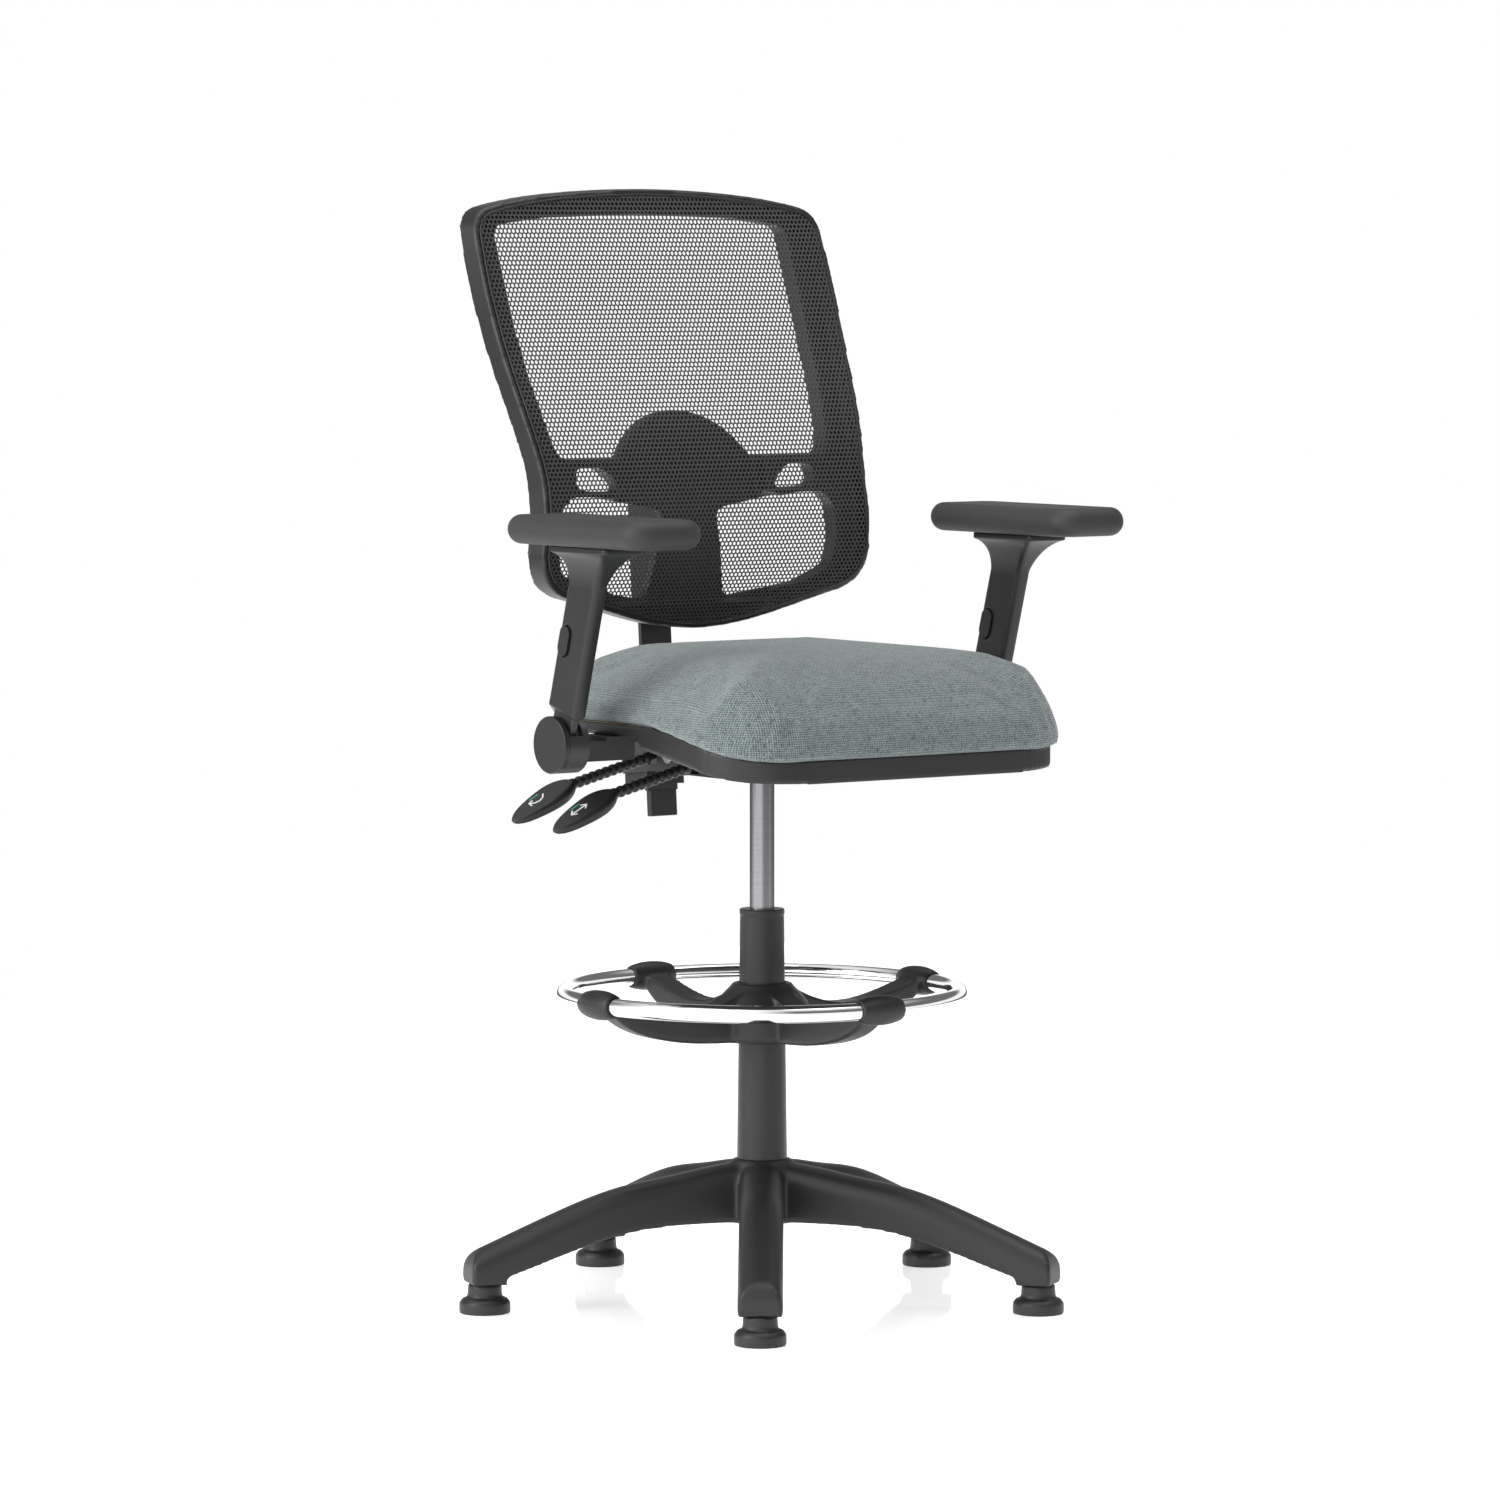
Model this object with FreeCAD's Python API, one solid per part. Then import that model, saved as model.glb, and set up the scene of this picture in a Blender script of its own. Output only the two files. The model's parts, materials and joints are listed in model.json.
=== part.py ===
"""Drafting chair: five-leg base on glides, gas lift, foot ring, two-lever seat mechanism,
upholstered seat, fold-back height-adjustable arms and a mesh back on a ratchet bar.

Millimetres.  +Z is up, the front of the chair faces -Y, the sitter's right hand is on -X.
The origin is where the swivel axis meets the floor.
"""
import FreeCAD
import Part
import math
import os

V = FreeCAD.Vector
X_AXIS = V(1, 0, 0)
Y_AXIS = V(0, 1, 0)
Z_AXIS = V(0, 0, 1)

# ---- fits ------------------------------------------------------------------------------
RUNNING_FIT = 0.05          # radial clearance of a shaft or slide that moves
ROOM = 0.4                  # gap between moving faces that don't guide each other

# ---- base and glides -------------------------------------------------------------------
LEG_COUNT = 5
FOOT_CIRCLE_R = 328.0       # swivel axis to the middle of a glide
LEG_OVERHANG = 20.0         # leg past the middle of its glide
LEG_WIDTH = 50.0
LEG_WALL = 6.0
LEG_CROWN_R = 20.0          # rounding of the long top edges
LEG_CROWN_WALL = 9.0        # thickness under the crown
LEG_END_Z = 33.0            # underside of the leg's foot block
LEG_ROOT_TOP_Z = 160.0
LEG_ROOT_BOTTOM_Z = 92.0
HUB_R = 41.0
HUB_TOP_Z = 163.0
HUB_BOTTOM_Z = 90.0
GLIDE_R = 29.0
GLIDE_FLANGE = 17.0
GLIDE_NECK_R = 19.0
GLIDE_STEM_R = 5.5
GLIDE_STEM_LENGTH = 28.0
GLIDE_STEM_FOOT = 15.0      # the stem's foot in its blind bore

# ---- column and gas lift ---------------------------------------------------------------
COLUMN_TOP_Z = 448.0
COLUMN_TOP_R = 25.0
COLUMN_FOOT_R = 28.6
TUBE_R = 22.5
TUBE_WALL = 2.0
TUBE_FOOT_Z = 98.0
TUBE_FLOOR = 4.0
TAPER_HEIGHT = 55.0         # tapered foot of the outer tube, pressed into the hub
TAPER_DROP = 1.4
LIFT_R = 14.0               # pressure tube, 28 mm across
LIFT_BORE_R = 12.4
LIFT_FOOT_Z = 236.0
LIFT_TOP_Z = 634.0
LIFT_TAPER = 44.0
LIFT_TAPER_DROP = 1.2
GUIDE_LENGTH = 78.0
PISTON_ROD_R = 5.0
PISTON_Z = 392.0
VALVE_PIN_R = 3.0
VALVE_PIN_PROUD = 7.0

# ---- foot ring -------------------------------------------------------------------------
RING_R = 223.8
RING_TUBE_R = 10.0
RING_WALL = 1.5
RING_Z = 351.7
SPOKE_COUNT = 4
SPOKE_WIDTH = 32.0
SADDLE_LENGTH = 58.0
SADDLE_R = 17.0
SADDLE_END_R = 12.6
SPIDER_BORE_R = 28.0
SPIDER_BOTTOM_Z = 298.0
SPIDER_TOP_Z = 364.0
KNOB_ANGLE = 54.0

# ---- seat ------------------------------------------------------------------------------
SEAT_WIDTH = 480.0
SEAT_FRONT_Y = -299.0
SEAT_REAR_Y = 147.0
SEAT_CORNER_R = 100.0
SEAT_TOP_Z = 750.0
CUSHION_OVERHANG = 6.0      # cushion past the pan all round
PAN_WALL = 3.0
PAN_FLAT_Z = 657.0          # underside of the pan over the mechanism
PAN_FRONT_Z = 613.0
PAN_STEP_Y = -84.0
BOARD_THICKNESS = 12.0
BOARD_MARGIN = 8.0          # from the board's edge to the pan's wall

# ---- seat mechanism --------------------------------------------------------------------
MECH_HALF_WIDTH = 70.0
MECH_WALL = 3.0
MECH_FRONT_Y = -78.0
MECH_REAR_Y = 136.0
MECH_BOTTOM_Z = 600.0
MECH_TOP_Z = PAN_FLAT_Z
HOUSING_BOLT_X = (-48.0, 48.0)
HOUSING_BOLT_Y = (-58.0, 94.0)
RECLINE_Y = 85.0
RECLINE_Z = 620.0
RECLINE_PIN_R = 6.0
FORK_PLATE = 5.0
FORK_EYE_R = 14.0

# ---- levers ----------------------------------------------------------------------------
LEVER_SLOPE = 13.9          # degrees below level, going outwards
PADDLE_SLOPE = 26.0
PADDLE_TWIST = 20.0
PADDLE_LENGTH = 88.0
PADDLE_WIDTH = 36.0
PADDLE_THICKNESS = 15.0
LEVER_CORE_R = 4.0
BEAD_R = 6.8
BEAD_PITCH = 9.5
BEAD_COUNT = 12
HEIGHT_LEVER_Y = 35.0
HEIGHT_LEVER_Z = 611.0
TILT_LEVER_Y = 118.0
TILT_LEVER_Z = 616.5
LEVER_PIVOT_X = -34.0
LEVER_ARM_Z = LIFT_TOP_Z + VALVE_PIN_PROUD + ROOM      # underside of the finger over the release pin

# ---- back bar and back -----------------------------------------------------------------
BAR_LEAN = 4.1              # degrees back from upright
BAR_WIDTH = 42.0
BAR_THICKNESS = 6.0
BAR_FOOT_Y = 198.0
BAR_FOOT_Z = 540.0
BAR_LENGTH = 385.0
TOWER_HALF_WIDTH = 27.0
TOWER_DEPTH = 46.0
TOWER_START = 37.0          # along the bar, from its foot
TOWER_LENGTH = 78.0
BACK_TOP_Z = 1264.5
BACK_BOTTOM_Z = 761.5
BACK_DEPTH = 46.0
BACK_LIP = 8.0
BACK_RECESS = 18.0
MESH_THICKNESS = 1.2
RIM_DEPTH = 33.0
RATCHET_PITCH = 9.0
RATCHET_STEPS = 7           # the back rises by this many steps of the ratchet
RATCHET_ALONG = 300.0       # the pawl's place along the bar with the back at its lowest
PAWL_HALF = 9.0
PAWL_THICKNESS = 7.0
PAWL_SPRING_LENGTH = 5.4

# ---- arms ------------------------------------------------------------------------------
ARM_X = 293.0
ARM_LEAN = 16.5             # degrees forward from upright
ARM_PIVOT_Y = -27.0
ARM_PIVOT_Z = 649.0
ARM_DRUM_R = 32.0
ARM_KNUCKLE_R = 26.5
ARM_POST_WIDTH = 18.0       # across the chair
ARM_POST_DEPTH = 55.0       # front to back
ARM_BLADE_WIDTH = 10.0
ARM_BLADE_DEPTH = 40.0
ARM_SLEEVE_START = 38.0     # along the post from the pivot
ARM_BLADE_LENGTH = 158.0
ARM_RISE = 65.0
ARM_PLATE_Z = 863.5
ARM_PLATE_LENGTH = 110.0
ARM_PLATE_WIDTH = 54.0
ARM_PLATE_Y = -97.0
ARM_PLATE_THICKNESS = 8.0
PAD_LENGTH = 266.0
PAD_WIDTH = 100.0
PAD_THICKNESS = 32.5
PAD_Y = -110.0
BUTTON_ALONG = 117.0        # button's place along the post from the pivot
BUTTON_BACK = 14.0          # and behind the post's middle line


# ======================================================================================
# Shape helpers
# ======================================================================================
def cyl(radius, height, base, axis=Z_AXIS):
    return Part.makeCylinder(radius, height, V(*base), axis)


def tube(outer, inner, height, base, axis=Z_AXIS):
    return cyl(outer, height, base, axis).cut(cyl(inner, height, base, axis))


def block(x0, x1, y0, y1, z0, z1):
    return Part.makeBox(x1 - x0, y1 - y0, z1 - z0, V(x0, y0, z0))


def smooth(points):
    """One edge that runs smoothly through the points."""
    curve = Part.BSplineCurve()
    curve.interpolate([V(*p) for p in points])
    return curve.toShape()


def line(a, b):
    return Part.makeLine(V(*a), V(*b))


def face_of(edges):
    return Part.Face(Part.Wire(Part.__sortEdges__(edges)))


def polygon(points):
    return Part.Face(Part.makePolygon([V(*p) for p in points] + [V(*points[0])]))


def turned(profile, axis_base=(0, 0, 0), axis=Z_AXIS):
    """A solid of revolution from an outline of (radius, height) points."""
    face = polygon([(r, 0, z) for r, z in profile])
    solid = face.revolve(V(0, 0, 0), Z_AXIS, 360)
    return solid


def rounded_outline(x0, x1, y0, y1, radius, z=0.0):
    """A rectangle with round corners, in a level plane."""
    r = radius
    k = r * math.sqrt(0.5)
    corners = [(x1 - r, y0 + r, -90), (x1 - r, y1 - r, 0), (x0 + r, y1 - r, 90), (x0 + r, y0 + r, 180)]
    edges = []
    ends = []
    for cx, cy, start in corners:
        a, m, b = (math.radians(start + t) for t in (0, 45, 90))
        pts = [V(cx + r * math.cos(t), cy + r * math.sin(t), z) for t in (a, m, b)]
        edges.append(Part.Arc(*pts).toShape())
        ends.append((pts[0], pts[2]))
    for i in range(4):
        p, q = ends[i][1], ends[(i + 1) % 4][0]
        if p.distanceToPoint(q) > 1e-6:
            edges.append(Part.makeLine(p, q))
    return face_of(edges)


def rounded_block(x0, x1, y0, y1, z0, z1, corner):
    return rounded_outline(x0, x1, y0, y1, corner, z0).extrude(V(0, 0, z1 - z0))


def fuse(shapes):
    first = shapes[0]
    return first.multiFuse(shapes[1:]).removeSplitter() if len(shapes) > 1 else first


def edges_where(shape, test):
    return [e for e in shape.Edges if test(e)]


def rounded(shape, radius, test):
    """Round the edges that pass the test."""
    chosen = edges_where(shape, test)
    return shape.makeFillet(radius, chosen) if chosen else shape


def turn(shape, angle, axis=Z_AXIS, centre=(0, 0, 0)):
    out = shape.copy()
    out.rotate(V(*centre), axis, angle)
    return out


def moved(shape, x=0.0, y=0.0, z=0.0):
    out = shape.copy()
    out.translate(V(x, y, z))
    return out


def mirrored_x(shape):
    return shape.mirror(V(0, 0, 0), X_AXIS)


def group(shapes):
    return Part.makeCompound(shapes)


def pan_head_screw(radius, length, head_radius, head_height):
    """A screw along +Z with its head below z = 0 and a hexagon socket in the head."""
    head = cyl(head_radius, head_height, (0, 0, -head_height))
    rim = [e for e in head.Edges if abs(e.BoundBox.ZMax + head_height) < 1e-6]
    head = head.makeChamfer(head_height * 0.25, rim)
    socket_r = radius * 0.62
    hexagon = polygon([(socket_r * math.cos(math.radians(60 * i)), socket_r * math.sin(math.radians(60 * i)),
                        -head_height) for i in range(6)])
    socket = hexagon.extrude(V(0, 0, head_height * 0.5))
    return head.fuse(cyl(radius, length, (0, 0, 0))).cut(socket).removeSplitter()


# ======================================================================================
# Base: five-leg star on glides
# ======================================================================================
def leg_angles():
    return [90.0 + 360.0 / LEG_COUNT * i for i in range(LEG_COUNT)]


def leg_top_points():
    """Top line of a leg, (radius, z), falling in a shallow S from the hub to the toe."""
    end = FOOT_CIRCLE_R + LEG_OVERHANG
    return [(20, LEG_ROOT_TOP_Z), (end * 0.19, 154), (end * 0.31, 146), (end * 0.475, 136),
            (end * 0.67, 114), (end * 0.88, 84), (end * 0.963, 72)]


def leg_profile(drop=0.0, start=0.0):
    """Side outline of a leg; drop lowers its top line to make the hollow under it."""
    end = FOOT_CIRCLE_R + LEG_OVERHANG - drop
    top = [(max(r, start) if i == 0 else r, 0, z - drop) for i, (r, z) in enumerate(leg_top_points())]
    toe = smooth([top[-1], (end - 4, 0, top[-1][2] - 9), (end, 0, top[-1][2] - 24)])
    heel_r = FOOT_CIRCLE_R - LEG_OVERHANG - 0.5
    under = [(heel_r, 0, LEG_END_Z + 8), (end * 0.74, 0, 58), (end * 0.6, 0, 74), (end * 0.475, 0, 85),
             (end * 0.31, 0, LEG_ROOT_BOTTOM_Z - 1), (20, 0, LEG_ROOT_BOTTOM_Z)]
    edges = [smooth(top), toe, line((end, 0, top[-1][2] - 24), (end, 0, LEG_END_Z)),
             line((end, 0, LEG_END_Z), (heel_r, 0, LEG_END_Z)), line((heel_r, 0, LEG_END_Z), under[0]),
             smooth(under), line(under[-1], top[0])]
    return face_of(edges)


def leg_solid():
    """One leg along +X: rounded top, open channel with ribs underneath, socket block at the toe."""
    half = LEG_WIDTH / 2
    leg = moved(leg_profile(), y=-half).extrude(V(0, LEG_WIDTH, 0))
    leg = rounded(leg, LEG_CROWN_R, lambda e: abs(abs(e.CenterOfMass.y) - half) < 0.5 and e.BoundBox.XLength > 30
                  and e.CenterOfMass.z > 100)
    hollow_half = half - LEG_WALL - 1.5
    block_r = FOOT_CIRCLE_R - LEG_OVERHANG - 4
    cavity = moved(leg_profile(drop=LEG_CROWN_WALL, start=HUB_R + 8), y=-hollow_half)
    cavity = cavity.extrude(V(0, 2 * hollow_half, 0))
    cavity = fuse([cavity, moved(cavity, z=-25)]).common(block(HUB_R + 8, block_r, -half, half, 0, 200))
    ribs = [block(r - 2, r + 2, -hollow_half, hollow_half, 0, 200) for r in (110, 170, 230)]
    return leg.cut(cavity.cut(fuse(ribs)))


def glide_xy(angle):
    return FOOT_CIRCLE_R * math.cos(math.radians(angle)), FOOT_CIRCLE_R * math.sin(math.radians(angle))


def column_tube():
    """Steel outer tube of the gas lift, tapered at its foot, with a floor for the thrust bearing."""
    foot_r = TUBE_R - TAPER_DROP
    outer = turned([(0, TUBE_FOOT_Z), (foot_r, TUBE_FOOT_Z), (TUBE_R, TUBE_FOOT_Z + TAPER_HEIGHT),
                    (TUBE_R, COLUMN_TOP_Z - 6), (0, COLUMN_TOP_Z - 6)])
    bore_r = TUBE_R - TUBE_WALL
    bore_foot = TUBE_FOOT_Z + TUBE_FLOOR
    bore = turned([(0, bore_foot), (bore_r - TAPER_DROP, bore_foot), (bore_r, TUBE_FOOT_Z + TAPER_HEIGHT),
                   (bore_r, COLUMN_TOP_Z), (0, COLUMN_TOP_Z)])
    return outer.cut(bore), outer


def base_parts():
    parts = {}
    tube_shape, tube_envelope = column_tube()
    hub = turned([(0, HUB_BOTTOM_Z), (HUB_R - 3, HUB_BOTTOM_Z), (HUB_R, HUB_BOTTOM_Z + 3),
                  (HUB_R - 2, LEG_ROOT_TOP_Z - 12), (HUB_R - 8, HUB_TOP_Z), (0, HUB_TOP_Z)])
    leg = leg_solid()
    star = fuse([hub] + [turn(leg, a) for a in leg_angles()])
    star = star.cut(tube_envelope)
    star = star.cut(cyl(TUBE_R - TAPER_DROP, 20, (0, 0, TUBE_FOOT_Z - 20)))
    bells, stems, rings, sockets = [], [], [], []
    for a in leg_angles():
        x, y = glide_xy(a)
        star = star.cut(cyl(GLIDE_STEM_R + 1.2, GLIDE_STEM_LENGTH, (x, y, LEG_END_Z)))
        sockets.append(tube(GLIDE_STEM_R + 1.2, GLIDE_STEM_R, GLIDE_STEM_LENGTH, (x, y, LEG_END_Z)))
        neck_top = LEG_END_Z
        bell = turned([(0, 0), (GLIDE_R, 0), (GLIDE_R, GLIDE_FLANGE - 5),
                       (GLIDE_R - 4, GLIDE_FLANGE), (GLIDE_NECK_R + 1, GLIDE_FLANGE + 0.8),
                       (GLIDE_NECK_R, neck_top - 1), (GLIDE_NECK_R - 1, neck_top), (0, neck_top)])
        bell = bell.cut(cyl(GLIDE_STEM_R, neck_top - GLIDE_STEM_FOOT, (0, 0, GLIDE_STEM_FOOT)))
        bells.append(moved(bell, x, y))
        groove_z = LEG_END_Z + GLIDE_STEM_LENGTH - 8
        stem = cyl(GLIDE_STEM_R, LEG_END_Z - GLIDE_STEM_FOOT + GLIDE_STEM_LENGTH - 1, (x, y, GLIDE_STEM_FOOT))
        stem = stem.cut(tube(GLIDE_STEM_R, GLIDE_STEM_R - 1, 3, (x, y, groove_z)))
        stems.append(stem)
        rings.append(tube(GLIDE_STEM_R - 0.1, GLIDE_STEM_R - 1, 3, (x, y, groove_z)))
    parts["base_star"] = star
    parts["glide_feet"] = group(bells)
    parts["glide_stems"] = group(stems)
    parts["glide_grip_rings"] = group(rings)
    parts["glide_sockets"] = group(sockets)

    parts["column_tube"] = tube_shape.cut(cyl(PISTON_ROD_R + ROOM, TUBE_FLOOR + 2, (0, 0, TUBE_FOOT_Z - 1)))
    shroud = turned([(TUBE_R + 0.1, HUB_TOP_Z), (COLUMN_FOOT_R, HUB_TOP_Z), (COLUMN_TOP_R, COLUMN_TOP_Z - 8),
                     (COLUMN_TOP_R + 0.6, COLUMN_TOP_Z - 5), (COLUMN_TOP_R + 0.6, COLUMN_TOP_Z - 1),
                     (COLUMN_TOP_R - 0.4, COLUMN_TOP_Z), (LIFT_R + ROOM, COLUMN_TOP_Z),
                     (LIFT_R + ROOM, COLUMN_TOP_Z - 5.9), (TUBE_R + 0.1, COLUMN_TOP_Z - 5.9)])
    parts["column_shroud"] = shroud
    guide_top = COLUMN_TOP_Z - 8
    parts["guide_bush"] = tube(TUBE_R - TUBE_WALL, LIFT_R + RUNNING_FIT, GUIDE_LENGTH,
                               (0, 0, guide_top - GUIDE_LENGTH))
    floor_z = TUBE_FOOT_Z + TUBE_FLOOR
    parts["bearing_lower_race"] = tube(15, PISTON_ROD_R + ROOM, 2, (0, 0, floor_z))
    cage_z = floor_z + 2.6
    cage = tube(14, PISTON_ROD_R + 1.5, 2.0, (0, 0, cage_z + 0.5))
    balls = []
    for i in range(10):
        a = math.radians(36 * i)
        ball = Part.makeSphere(1.4, V(10.2 * math.cos(a), 10.2 * math.sin(a), cage_z + 1.4))
        balls.append(ball)
        cage = cage.cut(cyl(1.5, 4, (10.2 * math.cos(a), 10.2 * math.sin(a), cage_z - 1)))
    parts["bearing_balls"] = group([cage] + balls)
    return parts


def lift_parts():
    """Piston rod body (turns with the seat) and pressure tube (turns and slides)."""
    parts = {}
    race_z = TUBE_FOOT_Z + TUBE_FLOOR + 2.6 + 2.8 + 0.5
    rod_foot = TUBE_FOOT_Z - 5
    groove_z = TUBE_FOOT_Z - 3
    rod = cyl(PISTON_ROD_R, PISTON_Z - rod_foot, (0, 0, rod_foot))
    rod = rod.cut(tube(PISTON_ROD_R, PISTON_ROD_R - 1, 1.5, (0, 0, groove_z)))
    parts["piston_rod"] = rod.fuse(cyl(8.5, 3, (0, 0, race_z + 2))).removeSplitter()
    parts["piston_rod_clip"] = tube(PISTON_ROD_R + 4, PISTON_ROD_R - 1, 1.5, (0, 0, groove_z))
    parts["bearing_upper_race"] = tube(15, PISTON_ROD_R, 2, (0, 0, race_z))
    parts["lift_buffer"] = tube(13, PISTON_ROD_R, 12, (0, 0, race_z + 5))
    parts["lift_piston"] = cyl(LIFT_BORE_R - RUNNING_FIT, 12, (0, 0, PISTON_Z))

    taper_z = LIFT_TOP_Z - LIFT_TAPER
    outer = turned([(0, LIFT_FOOT_Z), (LIFT_R - 1, LIFT_FOOT_Z), (LIFT_R, LIFT_FOOT_Z + 1), (LIFT_R, taper_z),
                    (LIFT_R - LIFT_TAPER_DROP, LIFT_TOP_Z), (0, LIFT_TOP_Z)])
    bore_top = taper_z - 4
    seal_height = 14
    parts["pressure_tube"] = outer.cut(cyl(LIFT_BORE_R, bore_top - LIFT_FOOT_Z, (0, 0, LIFT_FOOT_Z))) \
        .cut(cyl(VALVE_PIN_R + RUNNING_FIT, LIFT_TOP_Z - bore_top, (0, 0, bore_top)))
    parts["lift_rod_seal"] = tube(LIFT_BORE_R, PISTON_ROD_R + RUNNING_FIT, seal_height, (0, 0, LIFT_FOOT_Z))
    pin_foot = bore_top + 4
    parts["release_pin"] = cyl(VALVE_PIN_R, LIFT_TOP_Z + VALVE_PIN_PROUD - pin_foot, (0, 0, pin_foot))
    return parts, outer


# ======================================================================================
# Foot ring
# ======================================================================================
def spoke_face():
    """Side outline of one spoke, (radius, z): a deep web that sweeps up to its saddle."""
    reach = RING_R - 8
    top = [(SPIDER_BORE_R + 2, 0, SPIDER_TOP_Z - 4), (reach * 0.27, 0, 346), (reach * 0.5, 0, 335),
           (reach * 0.74, 0, 341), (reach, 0, RING_Z + 6)]
    bottom = [(reach, 0, RING_Z - 9), (reach * 0.93, 0, 329), (reach * 0.72, 0, 310),
              (reach * 0.42, 0, SPIDER_BOTTOM_Z + 2), (SPIDER_BORE_R + 2, 0, SPIDER_BOTTOM_Z)]
    return face_of([smooth(top), line(top[-1], bottom[0]), smooth(bottom), line(bottom[-1], top[0])])


def saddle():
    """Barrel-shaped sleeve round the ring tube, lying along Y at the end of the +X spoke."""
    half = SADDLE_LENGTH / 2
    outline = [smooth([(SADDLE_END_R, 0, -half), (SADDLE_R - 1, 0, -half * 0.5), (SADDLE_R, 0, 0),
                       (SADDLE_R - 1, 0, half * 0.5), (SADDLE_END_R, 0, half)]),
               line((SADDLE_END_R, 0, half), (0, 0, half)), line((0, 0, half), (0, 0, -half)),
               line((0, 0, -half), (SADDLE_END_R, 0, -half))]
    barrel = face_of(outline).revolve(V(0, 0, 0), Z_AXIS, 360)
    return moved(turn(barrel, 90, X_AXIS), RING_R - 1, 0, RING_Z)


def foot_ring_parts():
    parts = {}
    hub = turned([(0, SPIDER_BOTTOM_Z), (52, SPIDER_BOTTOM_Z), (56, SPIDER_BOTTOM_Z + 6), (54, 340), (44, 352),
                  (36, SPIDER_TOP_Z - 4), (34, SPIDER_TOP_Z - 4), (34, SPIDER_TOP_Z), (0, SPIDER_TOP_Z)])
    half = SPOKE_WIDTH / 2
    web = moved(spoke_face(), y=-half).extrude(V(0, SPOKE_WIDTH, 0))
    web = rounded(web, 4.0, lambda e: abs(abs(e.CenterOfMass.y) - half) < 0.5 and e.CenterOfMass.z < RING_Z - 30
                  and e.BoundBox.XLength > 60)
    spokes = []
    for i in range(SPOKE_COUNT):
        spokes.append(turn(web, 360 / SPOKE_COUNT * i))
        spokes.append(turn(saddle(), 360 / SPOKE_COUNT * i))
    spider = fuse([hub] + spokes)
    ring_seat = Part.makeTorus(RING_R, RING_TUBE_R, V(0, 0, RING_Z))
    spider = spider.cut(ring_seat).cut(cyl(SPIDER_BORE_R, 200, (0, 0, SPIDER_BOTTOM_Z - 50)))
    knob_z = 324.0
    a = math.radians(KNOB_ANGLE)
    out = V(math.cos(a), math.sin(a), 0)
    screw_start = COLUMN_FOOT_R + 0.4
    screw = Part.makeCylinder(4, 80 - screw_start, out * screw_start + V(0, 0, knob_z), out)
    spider = spider.cut(Part.makeCylinder(4 + ROOM, 80, out * 10 + V(0, 0, knob_z), out))
    wheel = Part.makeCylinder(17, 16, out * 64 + V(0, 0, knob_z), out)
    for i in range(8):
        b = math.radians(45 * i)
        side = V(-math.sin(a), math.cos(a), 0)
        centre = out * 63 + V(0, 0, knob_z) + side * (18.5 * math.cos(b)) + V(0, 0, 18.5 * math.sin(b))
        wheel = wheel.cut(Part.makeCylinder(4, 18, centre, out))
    parts["foot_ring"] = ring_seat.cut(Part.makeTorus(RING_R, RING_TUBE_R - RING_WALL, V(0, 0, RING_Z)))
    parts["ring_spider"] = spider
    parts["ring_clamp_screw"] = screw
    parts["ring_clamp_knob"] = wheel.cut(screw)
    return parts


# ======================================================================================
# Seat
# ======================================================================================
def seat_outline(inset, z0, z1):
    """Plan of the seat, a rounded rectangle drawn in by inset, from z0 to z1."""
    half = SEAT_WIDTH / 2 - inset
    return rounded_block(-half, half, SEAT_FRONT_Y + inset, SEAT_REAR_Y - inset, z0, z1, SEAT_CORNER_R - inset)


def under_line(lift):
    """Underside of the pan along Y, raised by lift: level over the mechanism, a step, then a fall."""
    wide = SEAT_WIDTH
    front = SEAT_FRONT_Y
    flat, low = PAN_FLAT_Z + lift, PAN_FRONT_Z + lift
    points = [(SEAT_REAR_Y + 20, flat), (PAN_STEP_Y, flat), (PAN_STEP_Y - 13, flat - 12),
              (front * 0.645, flat - 28), (front * 0.84, low + 5), (front - 20, low)]
    return [(-wide, y, z) for y, z in points]


def slab_between(low_points, top_z):
    """Everything above a polyline of the seat's side view, across the full width."""
    first, last = low_points[0], low_points[-1]
    ring = low_points + [(last[0], last[1], top_z), (first[0], first[1], top_z)]
    return polygon(ring).extrude(V(2 * SEAT_WIDTH, 0, 0))


def smooth_slab(points, top_z):
    """The same above a smooth line through the points."""
    first, last = points[0], points[-1]
    edges = [smooth(points), line(last, (last[0], last[1], top_z)),
             line((last[0], last[1], top_z), (first[0], first[1], top_z)),
             line((first[0], first[1], top_z), first)]
    return face_of(edges).extrude(V(2 * SEAT_WIDTH, 0, 0))


def rim_line():
    """Top edge of the pan's rim, where the cushion starts: it dips towards the front."""
    front = SEAT_FRONT_Y
    points = [(SEAT_REAR_Y + 20, 671), (20, 671.5), (-70, 671.5), (front * 0.4, 670), (front * 0.66, 657.5),
              (front * 0.84, 646), (front - 20, 641)]
    return [(-SEAT_WIDTH, y, z) for y, z in points]


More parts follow.
